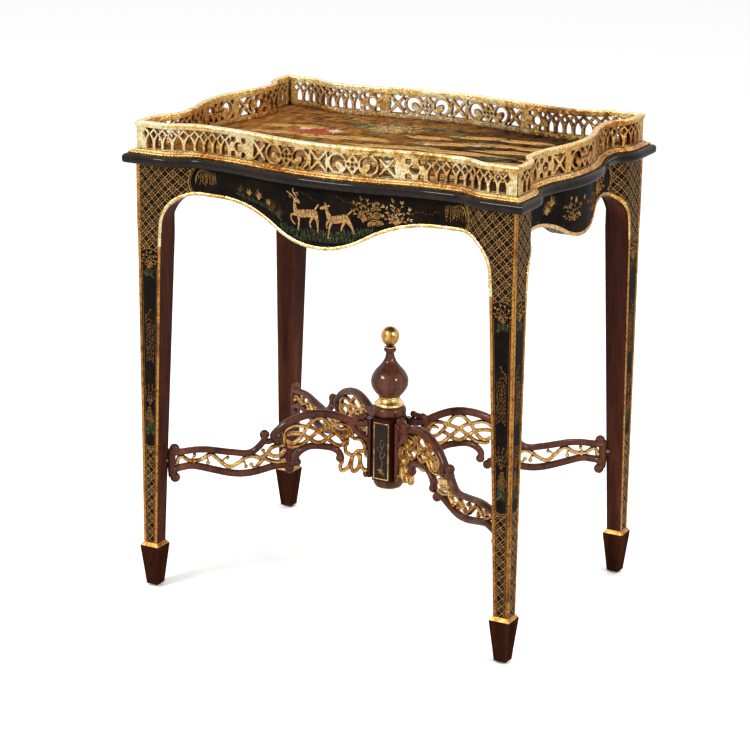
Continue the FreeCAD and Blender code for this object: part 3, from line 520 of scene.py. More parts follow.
def gilding(name, pale, warm, deep, wear, age=0.7):
    """Gold leaf of drifting tone, with red bole rubbed through, brown painted shade in the recesses, and
    painted light from above that makes faces turned upwards paler.
    """
    shader = Shader(name)
    drift = shader.noise(9, 2, 0.5) * 1.1 - 0.05
    patches = shader.noise(95, 6, 0.78) * 1.5 - 0.75
    # Faces turned upwards get paler gold and faces turned downwards darker: painted light from above.
    level = shader.axes("Normal")[2] * -0.1 + (drift + patches)
    gold = shader.ramp(level, (0.40, pale), (0.58, warm), (0.80, deep))
    rubbed = shader.fade(shader.noise(230, 6, 0.78), 0.58 - wear, 0.68 - wear)
    specks = shader.fade(shader.noise(420, 3, 0.6), 0.36, 0.46, 1, 0)
    # Painted shade: brown where surfaces crowd together, strongest in corners.
    shade = shader.fade(shader.recess(0.006), 0.35, 0.92, 1, 0)
    specked = shader.mix(specks * age, shader.mix(rubbed, gold, BOLE), WAX_SPECK)
    return shader.finish(
        Base_Color=shader.mix(shade, specked, PAINTED_SHADE_BROWN),
        Metallic=0.95 - rubbed * 0.5,
        Roughness=shader.fade(shader.noise(140, 4, 0.6), 0.3, 0.75, 0.14, 0.38),
        Normal=shader.bump(shader.noise(180, 6, 0.75), age, 0.002),
    )


GILT_BRIGHT = gilding("gilt_bright", (1.0, 0.90, 0.54), (0.88, 0.56, 0.17), (0.26, 0.11, 0.026), -0.01, 0.6)
# For the short sides: darker and more orange than the long sides' gilding, partly as more rubbing through to
# the bole and partly as painted shade.
GILT_WORN_AND_SHADED = gilding("gilt_worn_and_shaded", (1.0, 0.72, 0.28), (0.82, 0.39, 0.070), (0.28, 0.090, 0.018), 0.04)
GILT_CARVED = gilding("gilt_carved", (0.92, 0.58, 0.20), (0.56, 0.235, 0.042), (0.18, 0.055, 0.012), 0.03)
GILT_RUBBED = gilding("gilt_rubbed", (0.64, 0.30, 0.062), (0.35, 0.135, 0.024), (0.12, 0.040, 0.011), 0.04)
# A darker copy of the gilding, for the walls and softened edges of the gallery's openings: painted shade.
GILT_SHADE = gilding("gilt_shade", (0.34, 0.15, 0.040), (0.13, 0.045, 0.014), (0.045, 0.016, 0.007), 0.04)
GILT_TURNED = gilding("gilt_turned", (1.0, 0.74, 0.32), (0.74, 0.40, 0.105), (0.32, 0.13, 0.03), -0.04, 0.2)


def lacquer_ground(shader, lift, first_speck, speck_share, speck):
    """Black that lifts to brown in places, with fine brown specks."""
    mottle = shader.mix(shader.fade(shader.noise(30, 6, 0.7), 0.4, 0.75), (0.006, 0.005, 0.005), lift)
    specks = shader.fade(shader.noise(640, 3, 0.7), first_speck, first_speck + 0.1)
    return shader.mix(specks * speck_share, mottle, speck)


def black_lacquer():
    """Black lacquer under a glossy varnish."""
    shader = Shader("black_lacquer")
    return shader.finish(
        Base_Color=lacquer_ground(shader, (0.022, 0.014, 0.009), 0.60, 0.5, (0.20, 0.085, 0.028)),
        Roughness=shader.fade(shader.noise(90, 4, 0.6), 0.3, 0.8, 0.16, 0.34),
        Specular_IOR_Level=0.02,
        Coat_Weight=0.42,
        Coat_Roughness=0.03,
        Normal=shader.bump(shader.noise(150, 5, 0.7), 0.12, 0.0008),
    )


BLACK_LACQUER = black_lacquer()
UPRIGHT_GRAIN = (1, 1, 0.09)


def wood_colours(shader, dark, middle, light):
    """Grain and pores of dark red mahogany."""
    grain = shader.noise(34, 6, 0.62, UPRIGHT_GRAIN, 0.6)
    pores = shader.fade(shader.noise(420, 2, 0.5, UPRIGHT_GRAIN), 0.36, 0.46, 1, 0)
    return shader.mix(pores * 0.5, shader.ramp(grain, (0.3, dark), (0.52, middle), (0.72, light)), dark)


def wood_relief(shader):
    return shader.bump(shader.noise(300, 4, 0.6, UPRIGHT_GRAIN), 0.12, 0.0006)


def mahogany(name, dark, middle, light, polish):
    """Mahogany with painted shade in its recesses, under a clear polish."""
    shader = Shader(name)
    # Painted shade: the wood turns deep brown where surfaces crowd together.
    shade = shader.fade(shader.recess(0.008), 0.3, 0.8, 1, 0)
    return shader.finish(
        Base_Color=shader.mix(shade * 0.6, wood_colours(shader, dark, middle, light), (0.012, 0.005, 0.003)),
        Roughness=shader.fade(shader.noise(70, 4, 0.6), 0.3, 0.8, 0.2, 0.38),
        Specular_IOR_Level=0.03,
        Coat_Weight=polish,
        Coat_Roughness=0.04,
        Normal=wood_relief(shader),
    )


MAHOGANY = mahogany("mahogany", (0.036, 0.011, 0.006), (0.118, 0.034, 0.017), (0.200, 0.060, 0.028), 0.4)
POLISHED_MAHOGANY = mahogany(
    "polished_mahogany", (0.040, 0.012, 0.007), (0.122, 0.036, 0.018), (0.19, 0.058, 0.028), 0.55)
# A darker copy of the mahogany, for the post's shaft: painted shade.
SHADED_MAHOGANY = mahogany(
    "shaded_mahogany", (0.014, 0.005, 0.003), (0.036, 0.011, 0.006), (0.070, 0.021, 0.010), 0.08)
FOOT_SLOPE = 5.2


def foot_wood():
    """Dark mahogany, with gold leaf on the slope where the foot meets the leg."""
    shader = Shader("foot_mahogany")
    gilt = shader.axes("Object")[2] > (FOOT_TOP - FOOT_SLOPE) * MM
    wood = wood_colours(shader, (0.018, 0.006, 0.004), (0.048, 0.015, 0.008), (0.082, 0.026, 0.013))
    gold = shader.ramp(shader.noise(95, 6, 0.75), (0.36, (0.74, 0.42, 0.12)), (0.62, (0.30, 0.115, 0.022)))
    return shader.finish(
        Base_Color=shader.mix(gilt, wood, gold),
        Metallic=gilt * 0.95,
        Roughness=shader.fade(shader.noise(140, 4, 0.6), 0.3, 0.75, 0.36, 0.52),
        Specular_IOR_Level=0.0,
        Normal=wood_relief(shader),
    )


FOOT_WOOD = foot_wood()

# The lattice's lines run at 45 degrees through nodes in staggered rows, two thin lines to a bar.
LATTICE_ROW = 11
LATTICE_BAR = 3.8
LATTICE_LINE, TICK_LINE, STAR_LINE = 0.42, 0.3, 0.35
STAR_REACH = 3.3
LATTICE_WOBBLE = 2.4


def lattice_gold(u, v):
    """How much gold the lattice puts at a place, from 0 to 1: stars at its nodes, lines and ticks."""
    period = LATTICE_ROW * math.sqrt(2) * MM
    rising, falling = ((part * math.sqrt(0.5)).fold(period) for part in (u + v, u - v))
    gold = rising.near(falling, STAR_LINE * MM) * (rising < STAR_REACH * MM)
    for away, other in ((rising, falling), (falling, rising)):
        tick = away.near(0, TICK_LINE * MM) * (other > LATTICE_BAR * MM)
        gold = gold.most(away.near(LATTICE_BAR * MM, LATTICE_LINE * MM)).most(tick * 0.8)
    return gold


def decorated_lacquer(name, region):
    """Black lacquer with gold lattice where region says, and mahogany on the faces turned inwards."""
    shader = Shader(name)
    (x, y, z), (facing_x, facing_y, _) = shader.axes("Object"), shader.axes("Normal")
    sideways = abs(facing_x) > abs(facing_y)
    outward = x * facing_x + y * facing_y > 0
    place = abs(sideways * y + (1 - sideways) * x)
    wobble = (shader.noise(55, 3) - 0.5) * (LATTICE_WOBBLE * MM)
    rubbed = shader.fade(shader.noise(170, 5, 0.75), 0.34, 0.52, 0.15, 1)
    gold = lattice_gold(place + wobble, z) * (region(place, z, sideways) * outward) * rubbed
    lacquer = lacquer_ground(shader, (0.020, 0.013, 0.008), 0.62, 0.35, (0.16, 0.075, 0.025))
    wood = wood_colours(shader, (0.026, 0.009, 0.006), (0.078, 0.024, 0.014), (0.14, 0.045, 0.025))
    tint = shader.mix(shader.noise(60, 3), (0.36, 0.165, 0.043), (0.60, 0.34, 0.118))
    return shader.finish(
        Base_Color=shader.mix(gold, shader.mix(outward, wood, lacquer), tint),
        Metallic=gold * 0.55,
        Roughness=shader.fade(shader.noise(90, 4, 0.6), 0.3, 0.8, 0.2, 0.38),
        Specular_IOR_Level=0.01,
        Coat_Weight=0.03,
        Coat_Roughness=0.05,
        Normal=shader.bump(shader.noise(150, 5, 0.7), 0.1, 0.0008),
    )


# A leg's black reserve is round-headed at both ends; the lattice lies above and below it.
RESERVE_LOW, RESERVE_HIGH, RESERVE_ROUND = 223, 525, 8


def leg_region(place, z, sideways):
    """Lattice above and below a round-ended reserve."""
    rest = 1 - ((z - FOOT_TOP * MM) / ((APRON_TOE - FOOT_TOP) * MM)).least(1)
    half = LEG_WIDTH / 2 * MM - rest * ((LEG_WIDTH - ANKLE_WIDTH) / 2 * MM)
    front, side = (CURVES[kind]["corner"] * MM - rest * (INSETS[kind][0] * MM) - half for kind in CURVES)
    off = (place - (front + (side - front) * sideways)) / half
    sag = off * off * (RESERVE_ROUND * MM)
    return (z + sag > RESERVE_HIGH * MM).most(z - sag < RESERVE_LOW * MM)


# Where the lattice of an apron's ends gives way to the picture, along a bowed line.
APRON_LATTICE_STARTS = {"front": 222, "side": 139}
LATTICE_BULGE = 9
LATTICE_BOW_LOW, LATTICE_BOW_HIGH = 610, 649
LATTICE_BOW_MIDDLE, LATTICE_BOW_REACH = 627, 22


def apron_region(place, z, sideways):
    """Lattice from the bowed lines to the legs."""
    front, side = (APRON_LATTICE_STARTS[kind] * MM for kind in CURVES)
    share = (z - LATTICE_BOW_MIDDLE * MM) / (LATTICE_BOW_REACH * MM)
    return place + share * share * (LATTICE_BULGE * MM) > sideways * (side - front) + front


LEG_LACQUER = decorated_lacquer("leg_lacquer", leg_region)
APRON_LACQUER = decorated_lacquer("apron_lacquer", apron_region)


def uneven(shader, scale, roughness):
    """A roughness that varies a little."""
    return shader.fade(shader.noise(scale, 3), 0.3, 0.7, roughness * 0.8, roughness * 1.2)


def plain_finish(name, first, second, scale, roughness, metallic=0.0):
    """A small hidden or plain piece with a little variation."""
    shader = Shader(name)
    return shader.finish(
        Base_Color=shader.ramp(shader.noise(scale, 5, 0.6), (0.3, first), (0.7, second)),
        Roughness=uneven(shader, scale * 3, roughness),
        Metallic=metallic,
        Normal=shader.bump(shader.noise(scale * 5, 3), 0.1, 0.0005),
    )


SECONDARY_WOOD = plain_finish("secondary_wood", (0.24, 0.13, 0.06), (0.36, 0.21, 0.10), 45, 0.6)
SCREW_STEEL = plain_finish("screw_steel", (0.30, 0.29, 0.28), (0.45, 0.44, 0.42), 200, 0.38, 0.9)
GLIDE_PLASTIC = plain_finish("glide_plastic", (0.62, 0.60, 0.55), (0.74, 0.72, 0.67), 120, 0.5)


# Painting: brush strokes a little proud of the lacquer


def paint(name, first, second, metallic=0.0):
    """Paint with a little wear and unevenness."""
    shader = Shader("paint_" + name)
    patches = shader.fade(shader.noise(90, 5, 0.7), 0.35, 0.65)
    worn = shader.fade(shader.noise(330, 5, 0.75), 0.38, 0.52, 0.8, 0)
    return shader.finish(
        Base_Color=shader.mix(worn, shader.mix(patches, first, second), (0.030, 0.016, 0.008)),
        Roughness=uneven(shader, 150, 0.42),
        Metallic=metallic,
        Specular_IOR_Level=0.01,
    )


def top_ground():
    """Aged ground of the table top: copper brown to the left, black and brown to the right."""
    shader = Shader("painted_ground")
    drift = shader.axes("Object")[0] * -1.6 + 0.42 + shader.noise(14, 5, 0.7) * 0.35
    streaks = shader.fade(shader.noise(60, 7, 0.8, (1, 0.6, 1)), 0.38, 0.64)
    copper = shader.mix(streaks, (0.050, 0.022, 0.009), (0.42, 0.175, 0.042))
    dark = shader.mix(streaks, (0.010, 0.007, 0.006), (0.115, 0.055, 0.023))
    return shader.finish(
        Base_Color=shader.mix(shader.fade(drift, 0.42, 0.78), dark, copper),
        Roughness=shader.fade(shader.noise(90, 4, 0.6), 0.3, 0.8, 0.22, 0.42),
        Specular_IOR_Level=0.0,
        Normal=shader.bump(shader.noise(220, 5, 0.7), 0.2, 0.0008),
    )


TOP_GROUND = top_ground()
PAINTS = {
    "gold": paint("gold", (0.53, 0.31, 0.10), (0.37, 0.18, 0.05), 0.25),
    "amber": paint("amber", (0.78, 0.44, 0.125), (0.58, 0.29, 0.070), 0.1),
    "pale": paint("pale_gold", (0.66, 0.47, 0.23), (0.49, 0.31, 0.12), 0.15),
    "fawn": paint("fawn", (0.66, 0.40, 0.17), (0.48, 0.25, 0.09)),
    "spot": paint("spot", (0.115, 0.026, 0.010), (0.060, 0.016, 0.008)),
    "copper": paint("copper", (0.40, 0.15, 0.045), (0.27, 0.085, 0.025)),
    "brown": paint("brown", (0.16, 0.075, 0.028), (0.085, 0.038, 0.016)),
    "dull": paint("dull_gold", (0.30, 0.150, 0.052), (0.165, 0.075, 0.026)),
    "green": paint("green", (0.055, 0.080, 0.036), (0.026, 0.042, 0.020)),
    "sage": paint("sage", (0.16, 0.18, 0.085), (0.075, 0.095, 0.045)),
    "red": paint("red", (0.42, 0.075, 0.025), (0.27, 0.045, 0.018)),
    "white": paint("white", (0.78, 0.70, 0.55), (0.62, 0.52, 0.36)),
    "black": paint("black", (0.010, 0.007, 0.006), (0.016, 0.010, 0.007)),
}

# A stag that looks back with one foreleg raised, and a doe with her head low. Each is the strokes of
# the coat, as (u, v, half width) about the near fore hoof, and lines with rows of spots.
STAG = {
    "coat": [
        [(-22.5, 53.5, 0.6), (-17.5, 51.5, 0.9), (-10, 46, 1.1)],
        [(-16.5, 51.5, 0.4), (-18, 47.5, 0.5), (-15, 45.5, 0.4)],
        [(-11, 60, 0.6), (-12, 55, 1.0), (-6, 48, 1.1)],
        [(-9, 52.5, 0.4), (-4.5, 54, 0.6), (-3, 51, 0.4)],
        [(-10.5, 43, 1.6), (-6, 43.8, 2.7), (-0.6, 39.6, 1.5)],
        [(-8.4, 43, 2.1), (-8.8, 35, 2.3), (-6, 25.5, 4.2)],
        [(-7, 25, 3.2), (3, 25.5, 5.6), (14, 27, 5.2), (24, 28, 5.2), (27, 27, 3.0)],
        [(-6, 22.5, 1.6), (-14, 22, 1.4), (-14, 15, 0.9), (-7.5, 8.5, 0.9)],
        [(-2.5, 23, 2.6), (-1.5, 13, 1.3), (-3, 0.5, 0.9)],
        [(24.5, 27, 4.4), (28.5, 17, 2.1), (29, 9.5, 1.1), (29.5, 1.5, 1.0)],
        [(20.5, 22, 2.2), (16.5, 13.5, 1.2), (18.5, 7, 0.9)],
        [(24, 33, 1.2), (30, 41.5, 1.0)],
    ],
    "spots": [([(-4, 26), (8, 27), (18, 28), (26, 28)], (3.2, 0.2, -2.6)), ([(-8, 38), (-7, 30)], (0,))],
}
DOE = {
    "coat": [
        [(-9.4, 50.5, 0.5), (-8, 47.5, 1.2), (-6.5, 45, 0.8)],
        [(-1, 47, 0.5), (-3.5, 46, 1.2), (-6, 44, 0.8)],
        [(-16.5, 41, 1.2), (-11, 43, 2.3), (-5, 44, 2.5)],
        [(-6.5, 43, 2.2), (-4.5, 36, 2.7), (-1.5, 29, 4.4)],
        [(-4, 28, 3.4), (5, 27.5, 5.2), (14, 29.5, 5.2), (23, 32, 5.0), (26, 31, 2.8)],
        [(-4, 25, 1.8), (-6, 18.5, 1.2), (-5, 14.5, 0.9)],
        [(1.5, 25, 2.4), (-1.8, 15, 1.3), (-2.8, 7.5, 1.0), (-4, 0, 1.0)],
        [(21, 26, 2.0), (17, 17.5, 1.2), (16.4, 13, 0.9)],
        [(24.5, 30, 4.2), (30.8, 21.5, 1.9), (34, 14.5, 1.1), (35.6, 10, 1.0)],
        [(24, 35, 1.2), (31.5, 42.5, 1.0)],
    ],
    "spots": [([(0, 28), (8, 28.5), (16, 31), (25, 32)], (3.0, 0.0, -2.8)), ([(-5, 39), (-3, 32)], (0,))],
}
# A stone's scallops, each as (u, v, size).
SCALLOPS = [(0, 4, 8), (-2, 12, 6), (3, 14, 6.5), (1, 22, 5.5), (2, 29, 3.5), (5, 6, 5), (-4, 5, 4.5)]


class Picture:
    """Brush strokes on one face, gathered by colour, each motif about a place of its own."""

    def __init__(self, name, lay, slot, lift=0.0, within=None):
        self.name, self.slot, self.within = name, slot, within
        self.lay = lambda u, w, v: lay(u, w + lift, v)
        self.forms = {}
        self.random = random.Random(name)
        self.at(0, 0)

    def at(self, u, v, scale=1.0, facing=1, turn=0):
        """Where the next strokes start, how large they are, which way they face and lean."""
        self.place = (u, v, scale, facing, math.radians(turn))
        return self

    def stroke(self, colour, points, lift=STROKE_LIFT):
        left, low, scale, facing, turn = self.place
        cos, sin = math.cos(turn), math.sin(turn)
        moved = []
        for u, v, half in points:
            u, v = u * cos - v * sin, u * sin + v * cos
            moved.append((left + facing * u * scale, low + v * scale, max(half * scale, FINEST_STROKE)))
        if self.within and not all(self.within(*point) for point in moved):
            return
        self.forms.setdefault(colour, Form()).stroke(moved, self.lay, lift)

    def leaf(self, colour, u, v, length, angle, half=None, lift=STROKE_LIFT):
        """A leaf from its foot at (u, v), pointed at both ends."""
        half = half or length * 0.16
        du, dv = polar(angle, length)
        middle, tip = (u + du * 0.4, v + dv * 0.4, half), (u + du, v + dv, 0.05)
        self.stroke(colour, [(u, v, half * 0.3), middle, tip], lift)

    def blossom(self, u, v, size, colour, eye="copper"):
        for petal in range(5):
            self.leaf(colour, u, v, size, 90 + petal * 72 + self.random.uniform(-8, 8), size * 0.26)
        self.leaf(eye, u - size * 0.15, v, size * 0.35, 0, size * 0.16)

    def tuft(self, u, v, height, colour, blades=9, open_angle=62):
        """Blades of grass that spread from one foot."""
        for blade in range(blades):
            share = blade / (blades - 1) * 2 - 1
            lean = share * open_angle + self.random.uniform(-6, 6)
            length = height * (1 - 0.35 * abs(share)) * self.random.uniform(0.8, 1.1)
            middle = polar(90 - lean * 0.6, length * 0.5, (u, v))
            tip = polar(90 - lean * 1.3, length * 0.5, middle)
            self.stroke(colour, [(u + share, v, 0.35), (*middle, 0.55), (*tip, 0.1)])

    def twig(self, colour, line, leaf_length, leaf_colour, pitch, half=0.45):
        """A stem with leaves on either hand."""
        count = len(line) - 1
        self.stroke(colour, [(u, v, half * (1 - 0.5 * i / count)) for i, (u, v) in enumerate(line)])
        path = smooth(line)
        run, side = 0, 1
        for (u1, v1), (u2, v2) in zip(path, path[1:]):
            run += math.hypot(u2 - u1, v2 - v1)
            heading = math.degrees(math.atan2(v2 - v1, u2 - u1))
            if run >= pitch:
                run = 0
                side = -side
                angle = heading + side * self.random.uniform(35, 60)
                self.leaf(leaf_colour, u2, v2, leaf_length * self.random.uniform(0.75, 1.15), angle)
        self.leaf(leaf_colour, u2, v2, leaf_length, heading)

    def willow(self, colour):
        """A leaning trunk that bends over and trails its withes."""
        self.stroke(colour, [(0, -14, 0.7), (1, -4, 0.9), (5, 3, 0.8), (11, 6, 0.7), (18, 3, 0.4)])
        self.stroke(colour, [(2, -1, 0.4), (5, -4, 0.5), (4, -8, 0.3)])
        for withe in range(11):
            u = 7 + withe * 2.5
            top = 5.5 - abs(u - 16) * 0.12 + self.random.uniform(-1, 1)
            length = self.random.uniform(13, 22)
            sway = self.random.uniform(-1.5, 2.5)
            bow = (u + 0.6, top - length * 0.35, 0.3)
            self.stroke(colour, [(u - 1.5, top, 0.35), bow, (u + sway, top - length, 0.15)])
            for drop in range(4):
                share = 0.3 + 0.2 * drop
                angle = self.random.choice((-115, -65, -80))
                self.leaf(colour, u + sway * share, top - length * share, 3.4, angle, 0.5)

    def rock(self, colour, shade):
        """A standing stone of nested scallops."""
        self.stroke(shade, [(0, -1, 6), (1, 10, 7.5), (2, 20, 5.5), (2, 29, 2.5)], 0.15)
        for u, v, size in SCALLOPS:
            for reach in (size, size * 0.66, size * 0.36):
                arch = oval((u, v), reach, reach * 0.9, (10, 55, 100, 145, 190))
                self.stroke(colour, [(*point, 0.45) for point in arch], 0.45)

    def bush(self, colour, leaf_colour, spread_out=1.0):
        """Several leafy stems from one foot."""
        for lean, length in ((-52, 20), (-30, 28), (-8, 32), (14, 30), (36, 27), (58, 20)):
            tip = polar(90 - lean * spread_out, length)
            middle = (tip[0] * 0.45 - lean * 0.03, tip[1] * 0.5)
            self.twig(colour, [(0, 0), middle, tip], 5.4, leaf_colour, 3.0)

    def deer(self, shape, coat, spot):
        """A spotted deer: its coat, then its spots in staggered rows."""
        for points in shape["coat"]:
            self.stroke(coat, points)
        for line, rows in shape["spots"]:
            for place, (u, v) in enumerate(smooth(line, 2)):
                for number, row in enumerate(rows):
                    left = u + (place + number) % 2 + self.random.uniform(-0.5, 0.5)
                    low = v + row + (place % 2) * 1.2
                    self.leaf(spot, left, low, 2.3, self.random.uniform(20, 70), 0.95, 1.0)

    def turf(self, line, depth):
        """Short grass over a bank whose top follows the line."""
        path = smooth(line, 8)
        run = GRASS_PITCH
        for (u1, v1), (u2, v2) in zip(path, path[1:]):
            run += math.hypot(u2 - u1, v2 - v1)
            if run < GRASS_PITCH:
                continue
            run = 0
            for row in range(max(1, round(depth / GRASS_ROW))):
                u = u1 + self.random.uniform(-1.4, 1.4)
                v = v1 - row * GRASS_ROW + self.random.uniform(-0.8, 0.8)
                lean = self.random.uniform(50, 130)
                tone = "sage" if self.random.random() < 0.16 else "green"
                self.leaf(tone, u, v, GRASS_HEIGHT * self.random.uniform(0.7, 1.2), lean, 0.85)

    def finish(self):
        for colour, form in self.forms.items():
            make_piece(self.name + "_" + colour, form, PAINTS[colour], self.slot)


# Top board


BOARD_ROUND = 5.5
PLAN_STEP = 4


def along_side(kind, step=PLAN_STEP):
    """Even stops along a whole side."""
    return spread(-CURVES[kind]["corner"], CURVES[kind]["corner"], step)


def plan_ring(w, z):
    """The closed serpentine at an offset, anticlockwise from the front left corner."""
    return [bend(name, p, w, z) for name, kind in SIDES.items() for p in along_side(kind)[:-1]]


def make_board():
    """Black board with a full rounded edge."""
    inner, low_round = -GALLERY_THICKNESS * 3, BOARD_ROUND * 0.8
    section = [(inner, BOARD_HIGH)]
    section += arc((BOARD_OVERHANG - BOARD_ROUND, BOARD_HIGH - BOARD_ROUND), BOARD_ROUND, 90, 0, 8)
    section += arc((BOARD_OVERHANG - low_round, BOARD_LOW + low_round), low_round, 0, -90, 7)
    form = Form()
    form.skin([plan_ring(w, z) for w, z in section + [(inner, BOARD_LOW)]])
    make_piece("lacquered_board", form, BLACK_LACQUER, "black_lacquer", ["top_board"])


# Step mouldings and gallery


def sweep_side(form, name, section):
    """A closed section of (w, z) carried along one side, mitred at both ends."""
    form.skin([[bend(name, p, w, z) for w, z in section] for p in along_side(SIDES[name])])


def make_steps():
    """A hollow and a round along the foot of the gallery."""
    low, high = BOARD_HIGH, STEP_HIGH
    section = [(-1, low), (8.4, low)] + arc((7.2, low + 1.8), 1.8, -50, 100, 8)
    section += [(5.4, low + 3.2), (4.2, low + 3.8), (3.4, low + 4.8)]
    section += [(3.1, high - 0.4), (2.7, high), (-1, high)]
    for name in SIDES:
        form = Form()
        sweep_side(form, name, section)
        make_piece("gilt_step_" + name, form, GILT_CARVED, "gilding", ["step_moulding_" + name])


# The fret's motifs, in millimetres about their own middle line and up from the step.
LANCET_PITCH = 14.3
FRET_END = 22
FRET_MIDDLE = 16
MOTIFS = {
    "front": {"lancets": 9, "ring": 139, "crossings": (100, 0), "foils": (52,)},
    "side": {"lancets": 6, "ring": 92, "crossings": (62,), "foils": (0,)},
}
DIAMOND = [(0, 17.8), (3.6, 22.6), (0, 27.2), (-3.6, 22.6)]
DROP = [(-5.0, 30.6), (-1.0, 26), (0, 25), (1.0, 26), (5.0, 30.6)]


def curves(*lines):
    """Smooth lines joined end to end."""
    joined = []
    for line in lines:
        joined += smooth(line, 3)[1 if joined else 0:]
    return joined


def with_upper(shapes):
    """The shapes and their images above the fret's own middle."""
    return shapes + [[(u, 2 * FRET_MIDDLE - v) for u, v in reversed(shape)] for shape in shapes]


def lancet():
    """A pointed light between two ribs."""
    right = curves([(4.3, 2.6), (4.7, 6.5), (4.4, 11), (3.2, 15.6), (0, 21.4)])
    return right + [(-u, v) for u, v in reversed(right[:-1])]


def ring_motif():
    """A round eye with a leaf in each corner about it."""
    eye = circle((0, FRET_MIDDLE), 6.4, 20)
    leaf = [(5.4, 2.8), (12.2, 2.8), (12.6, 8.0)] + arc((0, FRET_MIDDLE), 10.2, -38, -54, 3)
    return [eye] + mirrored(with_upper([leaf]))


def crossing_motif():
    """Two leafy stems that cross."""
    top = curves([(-9.8, 30.2), (-5.6, 25.8), (0, 20.2), (5.6, 25.8), (9.8, 30.2)],
                 [(9.8, 30.2), (4.2, 28.4), (0, 30.6), (-4.2, 28.4), (-9.8, 30.2)])[:-1]
    bottom = curves([(-9.6, 2.6), (-4.4, 7.4), (0, 11.8), (4.4, 7.4), (9.6, 2.6)])
    side = curves([(3.6, 16), (7.6, 21.0), (12.0, 25.4)], [(12.0, 25.4), (10.4, 16), (12.0, 6.6)],
                  [(12.0, 6.6), (7.6, 11.0), (3.6, 16)])[:-1]
    return [top, bottom] + mirrored([side])


def volute(centre, reach, start, end, steps=26):
    """The open crescent about a ball-ended scroll, which narrows to both its ends."""
    outer, inner = [], []
    for i in range(steps + 1):
        share = i / steps
        angle = start + (end - start) * share
        swell = min(1, 5 * share * (1 - share)) ** 0.7
        outer.append(polar(angle, reach, centre))
        inner.append(polar(angle, reach - 0.9 - (reach - 4.3) * swell, centre))
    return outer + inner[::-1]


def foil_motif():
    """Four round leaves about an eye, between two volutes."""
    eyes = [circle((0, FRET_MIDDLE + v), 1.8, 10) for v in (-6.2, 0, 6.2)]
    eye = circle((6.0, FRET_MIDDLE), 1.8, 10)
    curl = volute((22.6, 16.2), 10.8, 196, -100)
    leaf = with_upper([curves([(2.8, 2.8), (13.4, 2.8), (10.6, 6.6), (8.6, 10.2)])])
    tail = with_upper([curves([(31.0, 2.8), (37.4, 2.8), (36.6, 8.4), (34.4, 6.4)])])
    return eyes + mirrored([eye, curl] + leaf + tail)


def fret_holes(kind):
    """Every opening of one side."""
    motifs = MOTIFS[kind]
    end = CURVES[kind]["corner"] - FRET_END
    lancets = [end - step * LANCET_PITCH for step in range(motifs["lancets"])]
    diamonds = [end + LANCET_PITCH / 2 - step * LANCET_PITCH for step in range(motifs["lancets"] + 1)]
    rows = [(lancets, [lancet(), DROP]), (diamonds, [DIAMOND]), ([motifs["ring"]], ring_motif()),
            (motifs["crossings"], crossing_motif()), (motifs["foils"], foil_motif())]
    placed = []
    for sign in (-1, 1):
        for places, shapes in rows:
            placed += [(sign * place, shape) for place in places if place for shape in shapes]
    for places, shapes in rows:
        placed += [(0, shape) for shape in shapes if 0 in places]
    return [[(centre + u, STEP_HIGH + v) for u, v in shape] for centre, shape in placed]


def rim_section():
    """A soft round along the top edge and a hollow under it."""
    low, high, inner = GALLERY_LOW, GALLERY_TOP, -GALLERY_THICKNESS
    section = [(inner, low), (0.3, low), (0.7, low + 1.0), (0.9, low + 2.2)]
    section += arc((-0.5, high - 2.5), 2.5, -35, 90, 7)
    return section + arc((inner + 1.6, high - 1.6), 1.6, 90, 180, 4)


def make_gallery():
    """Each side's pierced plate under its rim."""
    foot, head = BOARD_HIGH - 0.6, GALLERY_LOW + 1
    rise = spread(foot, head, PLAN_STEP * 2)
    for name, kind in SIDES.items():
        run = along_side(kind)
        outline = [(p, foot) for p in run] + [(run[-1], z) for z in rise[1:]]
        outline += [(p, head) for p in reversed(run[:-1])] + [(run[0], z) for z in reversed(rise[1:-1])]
        form = Form()
        form.plate(outline, fret_holes(kind), -GALLERY_THICKNESS, 0, on_side(name), 0.9)
        sweep_side(form, name, rim_section())
        # The short sides take the darker gilding, partly as wear and partly as painted shade.
        material = GILT_BRIGHT if kind == "front" else GILT_WORN_AND_SHADED
        # The walls and softened edges of the openings take a darker copy of the gilding as painted shade.
        make_piece("pierced_gallery_" + name, form, material, "gilding", ["gallery_" + name], GILT_SHADE)


# Aprons


# The lower edge of each kind of apron.
ARCHES = {
    "front": {"crest": 608.5, "drop": 561, "radius": 52, "crest_run": 100, "drop_run": 70},
    "side": {"crest": 604.5, "drop": 575, "radius": 58, "crest_run": 64, "drop_run": 50},
}
APRON_TOE_WIDTH = 1.5
APRON_THICKNESS = 12
PAINT_MARGIN = 5


def arch_line(kind):
    """The apron's lower edge as (p, z), from one leg to the other."""
    crest, drop, radius, crest_run, drop_run = ARCHES[kind].values()
    flat = CURVES[kind]["corner"] - LEG_WIDTH
    toe = flat - APRON_TOE_WIDTH
    fall = (crest - drop) * crest_run / (crest_run + drop_run)
    rest = crest - drop - fall
    crest_radius = (crest_run**2 + fall**2) / (2 * fall)
    drop_radius = (drop_run**2 + rest**2) / (2 * rest)
    top, start = drop_run + crest_run, toe - radius
    half = []
    for p in spread(0, drop_run, PLAN_STEP):
        half.append((p, drop + drop_radius - math.sqrt(drop_radius**2 - p**2)))
    for p in spread(drop_run, top, PLAN_STEP)[1:]:
        half.append((p, crest - crest_radius + math.sqrt(crest_radius**2 - (p - top) ** 2)))
    half += [(p, crest) for p in spread(top, start, PLAN_STEP)[1:]]
    half += arc((start, crest - radius), radius, 90, 0, 16)[1:]
    half += [(toe, APRON_TOE), (flat, APRON_TOE)]
    return [(-p, z) for p, z in reversed(half[1:])] + half


